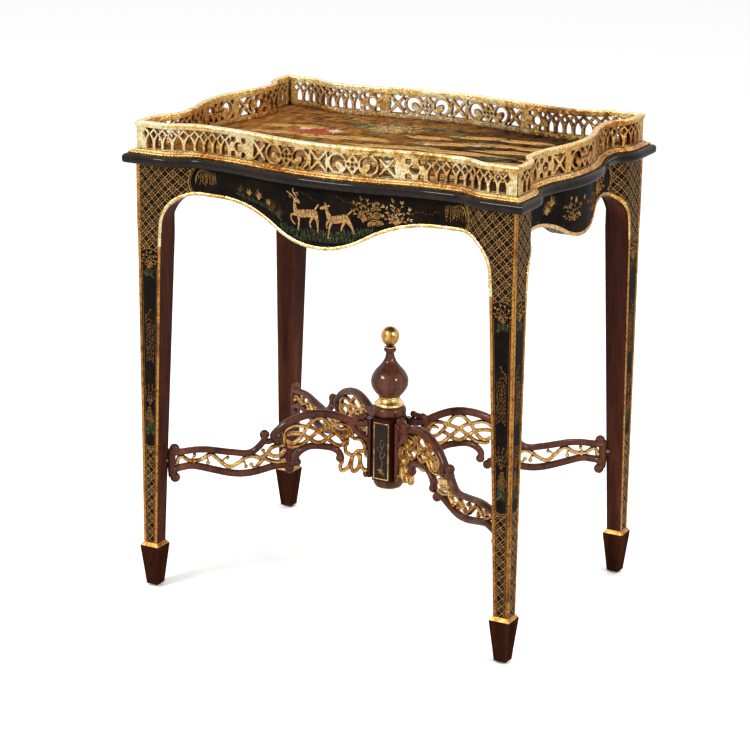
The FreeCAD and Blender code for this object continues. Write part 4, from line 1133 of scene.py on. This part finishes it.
def above_arch(kind):
    """Keeps paint on an apron, clear of its bead and of the board."""
    line = arch_line(kind)

    def within(u, v, half):
        for (p1, z1), (p2, z2) in zip(line, line[1:]):
            if p1 <= u <= p2:
                return max(z1, z2) + PAINT_MARGIN + half < v < BOARD_LOW - half
        return False

    return within


def paint_front(picture):
    """Willows at both ends, grasses, two deer, a stone and bushes between."""
    picture.at(-212, 640).willow("gold")
    picture.at(0, 0).turf([(-142, 619), (-120, 615), (-98, 612), (-72, 603), (-58, 594)], 6)
    for u, v, size in ((-120, 620, 13), (-102, 617, 15), (-84, 612, 12)):
        picture.tuft(u, v, size, "gold", 7)
        picture.tuft(u + 1, v, size * 0.8, "pale", 3, 30)
    for u, v in ((-136, 622), (-76, 607), (-64, 600)):
        picture.tuft(u, v, 15, "brown", 7, 70)
    picture.turf([(-60, 589), (-35, 583), (-8, 587), (17, 586), (42, 590), (70, 595), (84, 596)], 17)
    picture.at(-29, 583.5).deer(STAG, "fawn", "spot")
    picture.at(20, 578.7).deer(DOE, "fawn", "spot")
    picture.at(0, 0).twig("brown", [(-30, 640), (-12, 634), (6, 622)], 3, "brown", 4.5, 0.3)
    picture.twig("brown", [(24, 644), (36, 636), (56, 630), (66, 634)], 3, "brown", 4.5, 0.3)
    picture.at(68, 607).bush("gold", "gold", 0.85)
    picture.at(85, 598, 1.2).rock("gold", "brown")
    picture.at(114, 606, 1.05).bush("gold", "pale", 1.1)
    picture.at(0, 0)
    for u, v in ((104, 620), (116, 627), (122, 615), (108, 611)):
        picture.blossom(u, v, 3.2, "red", "pale")
    picture.twig("brown", [(132, 622), (146, 628), (160, 626), (172, 630)], 4, "brown", 4, 0.3)
    picture.at(217, 638, 1, -1).willow("gold")


def paint_side(picture):
    """Tufted plants, small blossoms and leaves."""
    picture.turf([(-112, 610), (-92, 607), (-70, 600), (-48, 594)], 4)
    for u, v, size in ((-86, 618, 20), (-76, 628, 18)):
        picture.tuft(u, v, size, "gold", 11, 78)
    picture.at(-30, 600).bush("brown", "gold", 1.2)
    picture.at(0, 0)
    for step, (u, v) in enumerate(((-38, 622), (-22, 628), (-8, 620), (4, 628), (18, 618), (-14, 608))):
        picture.blossom(u, v, 4, "gold" if step % 2 else "copper", "pale")
    picture.at(44, 598, 0.8).bush("brown", "copper", 1.2)
    picture.at(96, 612).bush("copper", "gold", 1.2)
    picture.at(0, 0).tuft(84, 612, 22, "gold", 9, 70)


PAINTERS = {"front": paint_front, "side": paint_side}


def lattice_edge(kind, inset):
    """The curved line where the picture gives way to lattice, as (p, z)."""
    line = []
    for z in spread(LATTICE_BOW_LOW, LATTICE_BOW_HIGH, 4):
        share = (z - LATTICE_BOW_MIDDLE) / LATTICE_BOW_REACH
        line.append((APRON_LATTICE_STARTS[kind] - LATTICE_BULGE * share**2 - inset, z))
    return line


def make_aprons():
    """Serpentine face, flat back and an arched and dropped lower edge, painted with a picture."""
    for name, kind in SIDES.items():
        curve, lay = CURVES[kind], on_side(name)
        back = curve["line"] - curve["deep"] - APRON_THICKNESS
        rings = []
        for p, z in arch_line(kind):
            heights = [z + (BOARD_LOW - z) * k / 4 for k in range(5)]
            ring = [lay(p, 0, height) for height in heights]
            rings.append(ring + [turn_side(name, p, back) + (height,) for height in reversed(heights)])
        form = Form()
        form.skin(rings)
        make_piece("serpentine_apron_" + name, form, APRON_LACQUER, "decorated_lacquer", ["apron_" + name])
        borders = Form()
        for sign in (-1, 1):
            for inset, half in ((0, 0.75), (2.4, 0.35)):
                borders.stroke([(sign * p, z, half) for p, z in lattice_edge(kind, inset)], lay)
        make_piece("lattice_border_" + name, borders, PAINTS["gold"], "decorated_lacquer")
        picture = Picture("painted_apron_" + name, lay, "decorated_lacquer", within=above_arch(kind))
        PAINTERS[kind](picture)
        picture.finish()


# Stretcher


# Rails of carved mahogany, each as its half width and its line of (reach, height).
RAILS = [
    (5.0, [(323, 206), (316, 208), (305, 209.5), (289, 211.5), (272, 211.5), (256, 209.5), (243, 207.5),
           (230, 206), (214, 204.5), (203, 207.5), (194, 215), (187, 224), (186, 230)]),
    (5.5, [(323, 178), (316, 183), (308, 185), (296, 187), (284, 185.5), (272, 182.5), (260, 179.5),
           (248, 176.5), (235, 174), (221, 173), (208, 174), (196, 176.5), (184, 180), (172, 183.5),
           (160, 185), (150, 183)]),
    (6.0, [(170, 226), (172, 232), (164, 241), (153, 250), (138, 257.5), (121, 262.5), (104, 264.5),
           (87, 262.5), (70, 257), (56, 251), (44, 248.5), (32, 248.5)]),
    (4.6, [(62, 252), (55, 244), (48, 235), (41, 228.5), (32, 222)]),
    (5.2, [(138, 191), (139, 198), (133, 206), (123, 212), (112, 214), (98, 212.8), (86, 210.5),
           (77, 205.5), (72, 197)]),
    (4.4, [(189, 224), (182, 222), (174, 224)]),
    (4.0, [(62, 253), (53, 255), (44, 258), (35, 261)]),
    (6.2, [(323, 171), (324, 185), (324, 200), (323, 213)]),
]
KNOBS = [(319.5, 214, 7.8), (319, 169, 7.8), (186, 233, 7.6), (168, 224, 6.8), (138, 189, 6.8),
         (149, 179, 7.2), (73, 194, 6.8), (50, 255, 6.8), (36, 261, 5.0), (35, 252, 4.6), (34, 168, 5.2)]
STILE = (3.6, [(29.5, 164), (29.5, 210), (29.5, 256)])
# Gilt strapwork, vines and pendants.
STRAPS = [
    [(317, 193), (310, 202), (297, 195), (281, 196), (266, 204), (255, 196), (240, 184), (226, 189),
     (214, 198), (202, 200), (192, 197)],
    [(198, 183), (188, 195), (181, 204), (175, 213), (164, 216), (156, 217)],
    [(155, 217), (169, 215), (178, 210), (179, 203), (171, 199), (162, 201), (155, 210)],
    [(203, 200), (194, 197), (184, 201), (179, 207)],
    [(187, 196), (174, 191), (163, 190), (154, 192)],
    [(156, 217), (157, 231), (153, 241), (141, 247), (127, 245), (114, 242), (105, 236), (91, 224), (81, 216),
     (72, 214), (64, 220), (60, 224)],
    [(154, 232), (144, 234), (131, 233), (121, 227), (114, 222), (106, 219), (96, 222), (87, 229), (81, 232)],
    [(154, 224), (149, 219), (141, 219), (133, 226), (128, 234), (122, 245), (116, 251), (111, 256),
     (102, 258), (96, 255), (87, 244), (80, 234), (72, 227), (64, 226), (59, 232), (64, 241), (75, 238)],
    [(152, 214), (141, 214), (130, 217), (121, 224), (110, 233), (103, 238), (92, 242), (82, 246), (70, 248),
     (61, 244), (55, 234), (56, 224)],
    [(55, 224), (43, 223), (37, 214), (37, 205), (47, 204), (54, 198), (64, 203), (65, 214), (60, 218)],
    [(68, 191), (73, 181), (70, 174), (61, 179), (56, 192), (53, 198)],
    [(55, 195), (56, 181), (53, 172), (45, 179), (44, 193), (47, 202)],
    [(43, 200), (42, 183), (36, 173), (33, 176)],
]
STRAP_KNOBS = [(290, 203, 2.8), (291, 193, 2.8), (270, 191, 2.8), (241, 198, 2.8), (214, 184, 2.8),
               (206, 187, 2.8), (188, 208, 2.8), (316, 193, 3.6), (37, 214, 2.8), (64, 203, 2.6)]
ARM_HALF, STRAP_HALF, STRAP_DEEP = 6.2, 3.2, 4.2
ARM_LEVEL = 196


def upright(u, w, v):
    """A point of an arm before it is turned to its corner."""
    return (u, w, v)


def carve(form, line, high, thick, sides=12, tip=None):
    """A carved strand along a smooth line of (reach, height)."""
    form.strand(smooth(line), high, thick, upright, sides, tip)


def turned_ends(share):
    """Rounded ends for a strand."""
    end = min(share, 1 - share) / 0.06
    return 1 if end >= 1 else math.sqrt(max(0.12, 1 - (1 - end) ** 2))


def arm_turn(sx, sy):
    """The angle of the arm to a corner, which points at the leg's inner arris."""
    share = leg_taper(ARM_LEVEL)
    low_x = HALF_LENGTH + ANKLE_SPLAY - ANKLE_WIDTH
    low_y = HALF_DEPTH - ANKLE_SET - ANKLE_WIDTH
    x = low_x + (HALF_LENGTH - LEG_WIDTH - low_x) * share
    y = low_y + (HALF_DEPTH - LEG_WIDTH - low_y) * share
    return math.atan2(sy * y, sx * x)


def arm_rails():
    """The S-shaped rails, their knobs and the stile at the post."""
    form = Form()
    for high, line in RAILS:
        carve(form, line, high, ARM_HALF)
    for u, v, radius in KNOBS:
        form.ball((u, v), radius, ARM_HALF + 0.6, upright)
    carve(form, STILE[1], STILE[0], ARM_HALF)
    return form


def arm_strapwork():
    """The tracery, with each small knob on a stem of its own where it stands off a strap."""
    form = Form()
    for line in STRAPS:
        carve(form, line, STRAP_HALF, STRAP_DEEP, 8, turned_ends)
    points = [point for line in STRAPS for point in smooth(line)]
    for u, v, radius in STRAP_KNOBS:
        near = min(points, key=lambda point: math.dist(point, (u, v)))
        if math.dist(near, (u, v)) > radius:
            bow = ((near[0] + u) / 2 + (v - near[1]) * 0.3, (near[1] + v) / 2 + (near[0] - u) * 0.3)
            carve(form, [near, bow, (u, v)], 1.7, 3.8, 8)
        form.ball((u, v), radius + 0.5, radius + 1.6, upright, 10, 6)
    return form


def make_arms():
    rails, straps = arm_rails(), arm_strapwork()
    for label, signs in CORNERS.items():
        turn = Matrix.Rotation(arm_turn(*signs), 4, "Z")
        turned = []
        for form in (rails, straps):
            placed = Form()
            placed.add([tuple(turn @ Vector(vert)) for vert in form.verts], form.faces)
            turned.append(placed)
        make_piece("arm_rails_" + label, turned[0], MAHOGANY, "mahogany", ["stretcher_arm_" + label])
        make_piece("arm_strapwork_" + label, turned[1], GILT_CARVED, "gilding")


# Post and finial


POST_FOOT, POST_SHOULDER = 162, 260
POST_REACH, POST_ARM_REACH = 25, 26
PANEL_LOW, PANEL_HIGH, PANEL_INSET = POST_FOOT + 4, POST_SHOULDER - 7, 2.6
BELL_LOW = POST_SHOULDER + 17
ONION_LOW = BELL_LOW + 14


def post_halves(inset=0):
    """The half widths of the post's side and front panels."""
    turn = arm_turn(1, 1)
    panel, arm = POST_REACH + inset, POST_ARM_REACH + inset
    return (arm - panel * math.cos(turn)) / math.sin(turn), (arm - panel * math.sin(turn)) / math.cos(turn)


def post_ring(inset, z):
    """The eight corners of the post at a height."""
    side_half, front_half = post_halves(inset)
    reach = POST_REACH + inset
    first = [(reach, side_half), (front_half, reach)]
    left = [(-x, y) for x, y in reversed(first)]
    right = [(x, -y) for x, y in reversed(first)]
    return [(x, y, z) for x, y in first + left + [(-x, -y) for x, y in first] + right]


def on_post(name):
    """Points laid on one of the post's four painted panels."""
    return lambda u, w, v: turn_side(name, u, POST_REACH + w) + (v,)


def raised(base, profile):
    """A profile's (radius, height) pairs, raised to a base."""
    return [(radius, base + height) for radius, height in profile]


def paint_post(picture):
    """A stem with side shoots over two blossoms and a tuft."""
    picture.blossom(-1, 13, 5.5, "gold")
    picture.blossom(3, 9, 4, "copper")
    picture.tuft(-3, 4, 9, "green", 5)
    for line in (
        [(0, 16, 0.5), (2.5, 26, 0.45), (-1.5, 36, 0.45), (1.5, 46, 0.4), (-2.0, 56, 0.4), (0.5, 62, 0.35),
         (2.5, 60, 0.3)],
        [(0.5, 32, 0.3), (5, 37, 0.45), (5.5, 43, 0.35), (2.5, 44, 0.2)],
        [(0, 41, 0.3), (-5, 45, 0.4), (-5.5, 50, 0.3), (-3, 51, 0.2)],
        [(1, 48, 0.3), (5, 54, 0.4), (4.5, 58, 0.2)],
    ):
        picture.stroke("gold", line)


def make_post():
    """The eight-sided shaft, its painted and bordered panels, and the turned caps and lip."""
    form, panels, borders, caps, lip = Form(), Form(), Form(), Form(), Form()
    form.skin([post_ring(-1, POST_FOOT), post_ring(0, POST_FOOT + 1),
               post_ring(0, POST_SHOULDER - 1), post_ring(-1, POST_SHOULDER)])
    # The shaft takes a darker copy of the mahogany as painted shade.
    make_piece("stretcher_post_shaft", form, SHADED_MAHOGANY, "mahogany", ["stretcher_post"])
    side_half, front_half = post_halves()
    for name, kind in SIDES.items():
        lay = on_post(name)
        u = (front_half if kind == "front" else side_half) - PANEL_INSET
        field = [(-u, PANEL_LOW), (u, PANEL_LOW), (u, PANEL_HIGH), (-u, PANEL_HIGH)]
        panels.skin([[lay(a, w, b) for a, b in field] for w in (-0.3, 0.15)])
        for line in zip(field, field[1:] + field[:1]):
            borders.strand(line, 0.95, 0.55, lay, 8)
        picture = Picture("post_" + name, lay, "mahogany", 0.15).at(0, PANEL_LOW)
        paint_post(picture)
        picture.finish()
    make_piece("post_panels", panels, BLACK_LACQUER, "mahogany")
    make_piece("post_panel_borders", borders, GILT_CARVED, "mahogany")
    swell = oval((18.6, 8.3), 6.9, 8.3, range(-75, 85, 12))
    caps.lathe(raised(POST_SHOULDER, [(20, -0.5), (22.6, 0)] + swell) + [(22, BELL_LOW)])
    caps.lathe(raised(POST_FOOT, [(14, -11.2), (19.6, -11.2), (21.4, -9.6), (22.9, -7), (22.6, -5),
                                  (23.6, -3), (24.6, -1), (24.6, 0.5), (14, 0.5)]))
    make_piece("stretcher_post_caps", caps, MAHOGANY, "mahogany")
    bulge = oval((18.4, -11.9), 1.5, 1.1, range(-90, 91, 30))
    lip.lathe(raised(POST_FOOT, [(12, -13)] + bulge + [(12, -10.6)]))
    make_piece("stretcher_post_lip", lip, GILT_CARVED, "gilding")


def make_finial():
    """A gilt bell, the mahogany onion with its collar, and the gilt ball."""
    wood, gilt = Form(), Form()
    onion = smooth([(15.6, 0), (17.5, 1.2), (22.6, 7), (26.6, 14), (28.0, 21.5), (26.8, 29.5), (22.2, 38),
                    (15.4, 46), (10.2, 53), (7.4, 59.5), (6.3, 65.5)], 5)
    collar = [(6.4, 66.2), (7.4, 67.6), (9.2, 69.2), (9.4, 71), (9.0, 73), (7.0, 74.4), (5, 74.6)]
    wood.lathe(raised(ONION_LOW, [(10, -1), (15.2, -1)] + onion + collar))
    bell = smooth([(21.6, -0.8), (22.4, 1.2), (21.2, 3.6), (18.2, 6.6), (16.2, 9.4), (15.6, 10.6)], 4)
    band = [(15.6, 10.8), (16.4, 11.4), (16.6, 12.6), (16.2, 13.6), (12, 14)]
    gilt.lathe(raised(BELL_LOW, [(12, -0.8)] + bell + band))
    gilt.lathe(raised(FINIAL_TOP, [(5, -32.6), (8.2, -32.2), (8.4, -31), (5, -30.2)]))
    gilt.lathe(raised(FINIAL_TOP, oval((0, -15), 13.5, 15, range(-84, 89, 7))))
    make_piece("finial_onion", wood, POLISHED_MAHOGANY, "mahogany", ["finial"])
    make_piece("finial_gilding", gilt, GILT_TURNED, "gilding")


# Gilt beads along the aprons' lower edges and the legs' edges


BEAD_HALF, EDGE_BEAD_HALF, BEAD_DEEP = 2.6, 2.1, 1.4
BEAD_OVER, BEAD_STEP, BEAD_BEYOND, BEAD_KNEE = 0.4, 30, 20, 12


def make_beads():
    """A bead along each apron's lower edge that runs on down the legs, and one on each outer arris."""
    for name, kind in SIDES.items():
        lay = on_leg(name)
        levels = [FOOT_TOP - BEAD_BEYOND] + spread(FOOT_TOP, APRON_TOE - BEAD_KNEE, BEAD_STEP)
        right = [(leg_edge(kind, z, True), z) for z in levels]
        beyond = CURVES[kind]["corner"] + BEAD_BEYOND
        closed = [(-beyond, BOARD_LOW), (-beyond, levels[0])] + [(-p, z) for p, z in right]
        closed += [(p, z) for p, z in arch_line(kind) if z > APRON_TOE]
        closed += right[::-1] + [(beyond, levels[0]), (beyond, BOARD_LOW)]
        path = grow(closed, BEAD_OVER - BEAD_HALF)[3:-3]
        run = len(right) - 1
        apron, legs = Form(), Form()
        apron.strand(path[run - 1:-run + 1], BEAD_HALF, BEAD_DEEP + 0.1, lay, 10)
        for line in (path[:run], path[-run:]):
            legs.strand(line, BEAD_HALF - 0.3, BEAD_DEEP, lay, 10)
        heights = spread(FOOT_TOP, BOARD_LOW, BEAD_STEP)
        arris = [(leg_edge(kind, z, False) - EDGE_BEAD_HALF, z) for z in heights]
        for sign in (-1, 1):
            legs.strand([(sign * p, z) for p, z in arris], EDGE_BEAD_HALF, BEAD_DEEP, lay, 10)
        # The short sides' bead takes their darker gilding, partly wear and partly painted shade.
        make_piece("gilt_arch_bead_" + name, apron, GILT_BRIGHT if kind == "front" else GILT_WORN_AND_SHADED, "gilding")
        make_piece("gilt_leg_beads_" + name, legs, GILT_RUBBED, "gilding")


# Pictures on the legs and the top


RESERVE_INSET, RESERVE_SIDE_INSET = 4.6, 6.0
RESERVE_LINE_TOP = 500
LEG_BUSH, LEG_BANK, LEG_PLANT, LEG_ROCK = 494, 490, 288, 259


def line_reserve(picture):
    """Thin lines inside the reserve's two heads and down both its sides."""
    for level, way in ((RESERVE_HIGH, -1), (RESERVE_LOW, 1)):
        whole = leg_width(level) / 2
        half = whole - RESERVE_INSET
        picture.stroke("dull", [(half * t, level + way * RESERVE_ROUND * (half * t / whole) ** 2, 0.8)
                                for t in (-1, -0.6, -0.2, 0.2, 0.6, 1)])
    for way in (-1, 1):
        levels = spread(FOOT_TOP + 3, RESERVE_LINE_TOP, 60)
        picture.stroke("dull", [(way * (leg_width(v) / 2 - RESERVE_SIDE_INSET), v, 0.45) for v in levels])


def hang_willow(picture):
    """A bough across the leg whose withes hang down."""
    picture.twig("dull", [(8, 418), (5, 424), (-1, 432)], 3.5, "dull", 4, 0.6)
    picture.stroke("dull", [(8, 412, 0.6), (3, 419, 0.5), (-4, 416, 0.4)])
    chance = picture.random
    for withe in range(9):
        u = -7 + withe * 1.6
        top = 414 - abs(u + 1) * 0.8 + chance.uniform(-2, 2)
        for step in range(11):
            v = top - step * 5.4 + chance.uniform(-1, 1)
            picture.leaf("dull", u + chance.uniform(-0.8, 0.8), v, 4.0, chance.choice((-105, -75, -90)), 0.45)


def paint_legs():
    """Reserves with a bush on a bank, a willow, and a plant, a stone and a bank at the foot."""
    for name, kind in SIDES.items():
        for sign, hand in ((-1, "left"), (1, "right")):

            def lay(u, w, v, place=on_leg(name), sign=sign, kind=kind):
                middle = (leg_edge(kind, v, False) + leg_edge(kind, v, True)) / 2
                return place(sign * (middle + u), w, v)

            picture = Picture("painted_leg_%s_%s" % (name, hand), lay, "decorated_lacquer")
            line_reserve(picture)
            picture.at(0, LEG_BUSH, 0.78).bush("dull", "gold", 0.8)
            picture.at(0, 0).turf([(-6, LEG_BANK - 2), (1, LEG_BANK + 2), (9, LEG_BANK)], 10)
            hang_willow(picture)
            for lean in (-34, -14, 8, 30):
                u, v = polar(90 - lean, 30)
                stem = [(0, LEG_PLANT), (u * 0.4, LEG_PLANT + v * 0.5), (u * 0.55, LEG_PLANT + v)]
                picture.twig("dull", stem, 4.0, "dull", 4.0)
            picture.at(0, LEG_ROCK, 0.8).rock("dull", "brown")
            reach = ANKLE_WIDTH / 2 - 5.4
            picture.at(0, 0).turf([(-reach, LEG_ROCK - 3), (0, LEG_ROCK), (reach, LEG_ROCK - 4)], 17)
            picture.finish()


# The pond's banks as (u, v, length), its clumps as (u, v), its flowers with size and colour, its reeds
# with their lean.
BANKS = [
    (-206, 16, 96), (-118, 22, 110), (-176, 74, 60), (-60, 40, 90), (-20, 6, 110), (60, 66, 120),
    (96, 20, 150), (34, -30, 120), (150, 56, 90), (176, -18, 130), (110, -58, 150), (206, -70, 110),
    (226, 20, 60), (6, 92, 80), (-240, -30, 60), (190, -120, 120), (118, 92, 110), (186, 96, 90),
    (74, 128, 90), (212, 62, 84),
    (150, 136, 100), (30, 20, 90), (-150, -66, 110), (-52, -74, 120), (-206, -118, 80), (-96, -128, 110),
    (52, -100, 120), (-10, -140, 110), (110, -146, 110), (-46, -22, 80), (-228, 60, 50),
]
CLUMPS = [
    (-128, 132), (-84, 150), (-44, 128), (-10, 152), (-104, 108), (34, 126), (22, 44), (104, 88), (150, 10),
    (66, -4), (-70, 84), (-110, -96), (-30, -112), (70, -74), (-190, -80), (150, -90), (20, -60), (-130, -20),
]
FLOWERS = [
    (-150, 46, 38, "red"), (-172, 38, 24, "red"), (-132, 62, 17, "white"), (-178, 58, 12, "white"),
    (30, 50, 9, "white"), (150, -30, 13, "white"), (206, -92, 12, "white"), (96, 78, 8, "white"),
    (-86, -100, 26, "red"), (-62, -112, 13, "white"), (40, -84, 15, "white"), (120, -118, 18, "red"),
    (-196, -96, 12, "white"),
]
CLUMP_LEAVES, PETALS, SHORE_STROKES, SHORE_BLADES = 30, 11, 150, 34
END_MARGIN, SIDE_MARGIN = 36, 34
REEDS = [(-84, 100, 8), (-62, 112, -24), (-50, 92, 36), (4, -128, 6), (18, -120, -30), (-176, -132, 20)]


def within_top(u, v, half):
    """Keeps paint on the top, clear of the gallery."""
    return abs(u) < HALF_LENGTH - END_MARGIN - half and abs(v) < HALF_DEPTH - SIDE_MARGIN - half


def paint_shore(picture):
    """Short dark and copper strokes over the left of the top, and dark blades behind them."""
    chance = picture.random
    for step in range(SHORE_STROKES):
        u, v = chance.uniform(-270, -90), chance.uniform(-170, 182)
        tone = chance.choice(("copper", "gold", "brown", "black"))
        length = chance.uniform(6, 26)
        middle = (u + length / 2, v + 1, chance.uniform(0.8, 1.8))
        picture.stroke(tone, [(u, v, 0.6), middle, (u + length, v, 0.4)], 0.15)
    for step in range(SHORE_BLADES):
        u, v = chance.uniform(-236, -110), chance.uniform(96, 178)
        tone = "black" if step % 2 else "brown"
        picture.stroke(tone, [(u, v, 1.0), (u + 5, v + 9, 2.6), (u + 9, v + 20, 0.8)], 0.15)


def paint_bank(picture, u, v, length, tone, edge):
    """A drifting bank of broad strokes with a scalloped edge."""
    chance = picture.random
    picture.at(u, v, turn=chance.uniform(2, 16))
    for row, share in ((0, 1.0), (6.5, 0.72), (-6, 0.66)):
        run = length * share
        shift = chance.uniform(-0.12, 0.12) * length
        line = [(shift + run * t, row + 1.6 * math.sin(9 * t + row), 1.0 + 3.4 * (1 - (2 * t) ** 2))
                for t in (-0.5, -0.36, -0.2, 0, 0.2, 0.36, 0.5)]
        picture.stroke(tone, line, 0.25)
        picture.stroke(edge, [(x, y + half * 0.9, 0.55) for x, y, half in line], 0.4)


def paint_top():
    """A made-up lotus pond: copper shore, drifting banks, broad leaves, reeds and a few large flowers."""
    field = Form()
    ring = plan_ring(-GALLERY_THICKNESS - 0.5, 0)
    field.skin([[(x, y, z) for x, y, _ in ring] for z in (BOARD_HIGH - 0.2, BOARD_HIGH + 0.1)])
    make_piece("painted_field", field, TOP_GROUND, "black_lacquer")
    picture = Picture("painted_top", lambda u, w, v: (u, v, BOARD_HIGH + w), "black_lacquer", 0.1, within_top)
    chance = picture.random
    paint_shore(picture)
    for u, v, length in BANKS:
        paint_bank(picture, u, v, length, "amber", "brown")
    picture.at(0, 0)
    for u, v in CLUMPS:
        for step in range(CLUMP_LEAVES):
            angle = chance.uniform(20, 60)
            left, low = u + chance.gauss(0, 11), v + chance.gauss(0, 9)
            picture.leaf("sage" if step % 3 else "green", left, low, 11, angle, 1.5)
    for u, v, size, tone in FLOWERS:
        for petal in range(PETALS):
            picture.leaf(tone, u, v, size * (0.72 + 0.28 * (petal % 2)), petal * 360 / PETALS, size * 0.15)
        picture.leaf("gold", u - size * 0.1, v, size * 0.22, 0, size * 0.1)
    for u, v, lean in REEDS:
        picture.at(u, v, 1.5, turn=lean).bush("gold", "pale")
    picture.finish()


# Carried-over pieces of the frame


def dress(node, material, soften=None):
    """Give a carried-over piece its finish and, where asked, softened edges."""
    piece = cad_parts[node]
    piece.data.materials.clear()
    piece.data.materials.append(material)
    if soften:
        weld = piece.modifiers.new("weld", "WELD")
        weld.merge_threshold = MERGE_REACH * MM
        bevel = piece.modifiers.new("soften", "BEVEL")
        bevel.width = soften * MM
        bevel.segments = 2
        bevel.limit_method = "ANGLE"
        bevel.angle_limit = math.radians(30)


def dress_frame():
    for label in CORNERS:
        dress("leg_" + label, LEG_LACQUER)
        dress("spade_foot_" + label, FOOT_WOOD, 0.9)
        dress("corner_block_" + label, SECONDARY_WOOD)
    dress("glides", GLIDE_PLASTIC)
    dress("top_screws", SCREW_STEEL)
    dress("stretcher_dowels", SECONDARY_WOOD)


# Stage, lights and camera


FLOOR_REACH = 30
FLOOR_LIT, FLOOR_SEEN = (0.82,) * 3, (1.5,) * 3
WORLD_LIT, WORLD_SEEN = 0.62, 1.0
CAMERA_LENS, SENSOR = 119.57, 36
CAMERA_PLACE = (1.6554, -3.1127, 1.4113)
CAMERA_RIGHT = Vector((0.87840, 0.47782, 0.01029))
CAMERA_UP = Vector((-0.14971, 0.25465, 0.95537))
CAMERA_FORWARD = Vector((-0.45388, 0.84074, -0.29522))


def make_stage():
    """A pale floor, brighter to the camera than to the table."""
    mesh = bpy.data.meshes.new("floor")
    corners = [(x * FLOOR_REACH, y * FLOOR_REACH, 0) for x, y in CORNERS.values()]
    mesh.from_pydata(corners, [], [(0, 1, 2, 3)])
    floor = bpy.data.objects.new("floor", mesh)
    bpy.context.scene.collection.objects.link(floor)
    material = bpy.data.materials.new("pale_floor")
    material.use_nodes = True
    nodes = Nodes(material.node_tree)
    nodes.tree.nodes.remove(nodes.tree.nodes["Principled BSDF"])
    colour = nodes.mix(nodes.value("LightPath", "Is Camera Ray"), FLOOR_LIT, FLOOR_SEEN)
    surface = nodes.value("BsdfDiffuse", "BSDF", Color=colour)
    nodes.put(surface, nodes.tree.nodes["Material Output"].inputs["Surface"])
    mesh.materials.append(material)


def make_world():
    """White behind the object; a softer level lights it."""
    world = bpy.data.worlds.new("studio")
    bpy.context.scene.world = world
    world.use_nodes = True
    nodes = Nodes(world.node_tree)
    background = nodes.tree.nodes["Background"]
    camera, glossy, through = (
        nodes.value("LightPath", "Is %s Ray" % ray) for ray in ("Camera", "Glossy", "Transmission"))
    seen = camera.most(glossy.most(through))
    level = nodes.value("Mix", "Result", Factor=seen, A=WORLD_LIT, B=WORLD_SEEN)
    nodes.put(level, background.inputs["Strength"])
    nodes.put((1, 1, 1), background.inputs["Color"])


def make_lamp(name, place, aim, width, height, watts, colour=(1, 1, 1)):
    data = bpy.data.lights.new(name, "AREA")
    data.shape = "RECTANGLE"
    data.size, data.size_y = width, height
    data.energy = watts
    data.color = colour
    lamp = bpy.data.objects.new(name, data)
    lamp.location = place
    lamp.rotation_euler = (Vector(aim) - Vector(place)).to_track_quat("-Z", "Y").to_euler()
    bpy.context.scene.collection.objects.link(lamp)


def make_camera():
    data = bpy.data.cameras.new("camera")
    data.sensor_width = SENSOR
    data.lens = CAMERA_LENS
    data.clip_start, data.clip_end = 0.1, 100
    camera = bpy.data.objects.new("camera", data)
    turn = Matrix((CAMERA_RIGHT, CAMERA_UP, -CAMERA_FORWARD)).transposed().to_4x4()
    camera.matrix_world = Matrix.Translation(CAMERA_PLACE) @ turn
    bpy.context.scene.collection.objects.link(camera)
    bpy.context.scene.camera = camera


make_board()
make_steps()
make_gallery()
make_aprons()
make_arms()
make_post()
make_finial()
make_beads()
paint_legs()
paint_top()
dress_frame()
make_stage()
make_world()
make_lamp("key", (-1.2, -2.4, 2.2), (0, 0, 0.4), 1.1, 0.45, 46, (1, 0.97, 0.92))
make_lamp("fill", (2.4, -0.8, 1.6), (0, 0, 0.4), 0.5, 0.4, 23)
make_lamp("top", (0.3, 0.6, 2.6), (0, 0, 0.6), 0.9, 0.5, 20)
make_camera()
bpy.context.scene.view_settings.view_transform = "Standard"
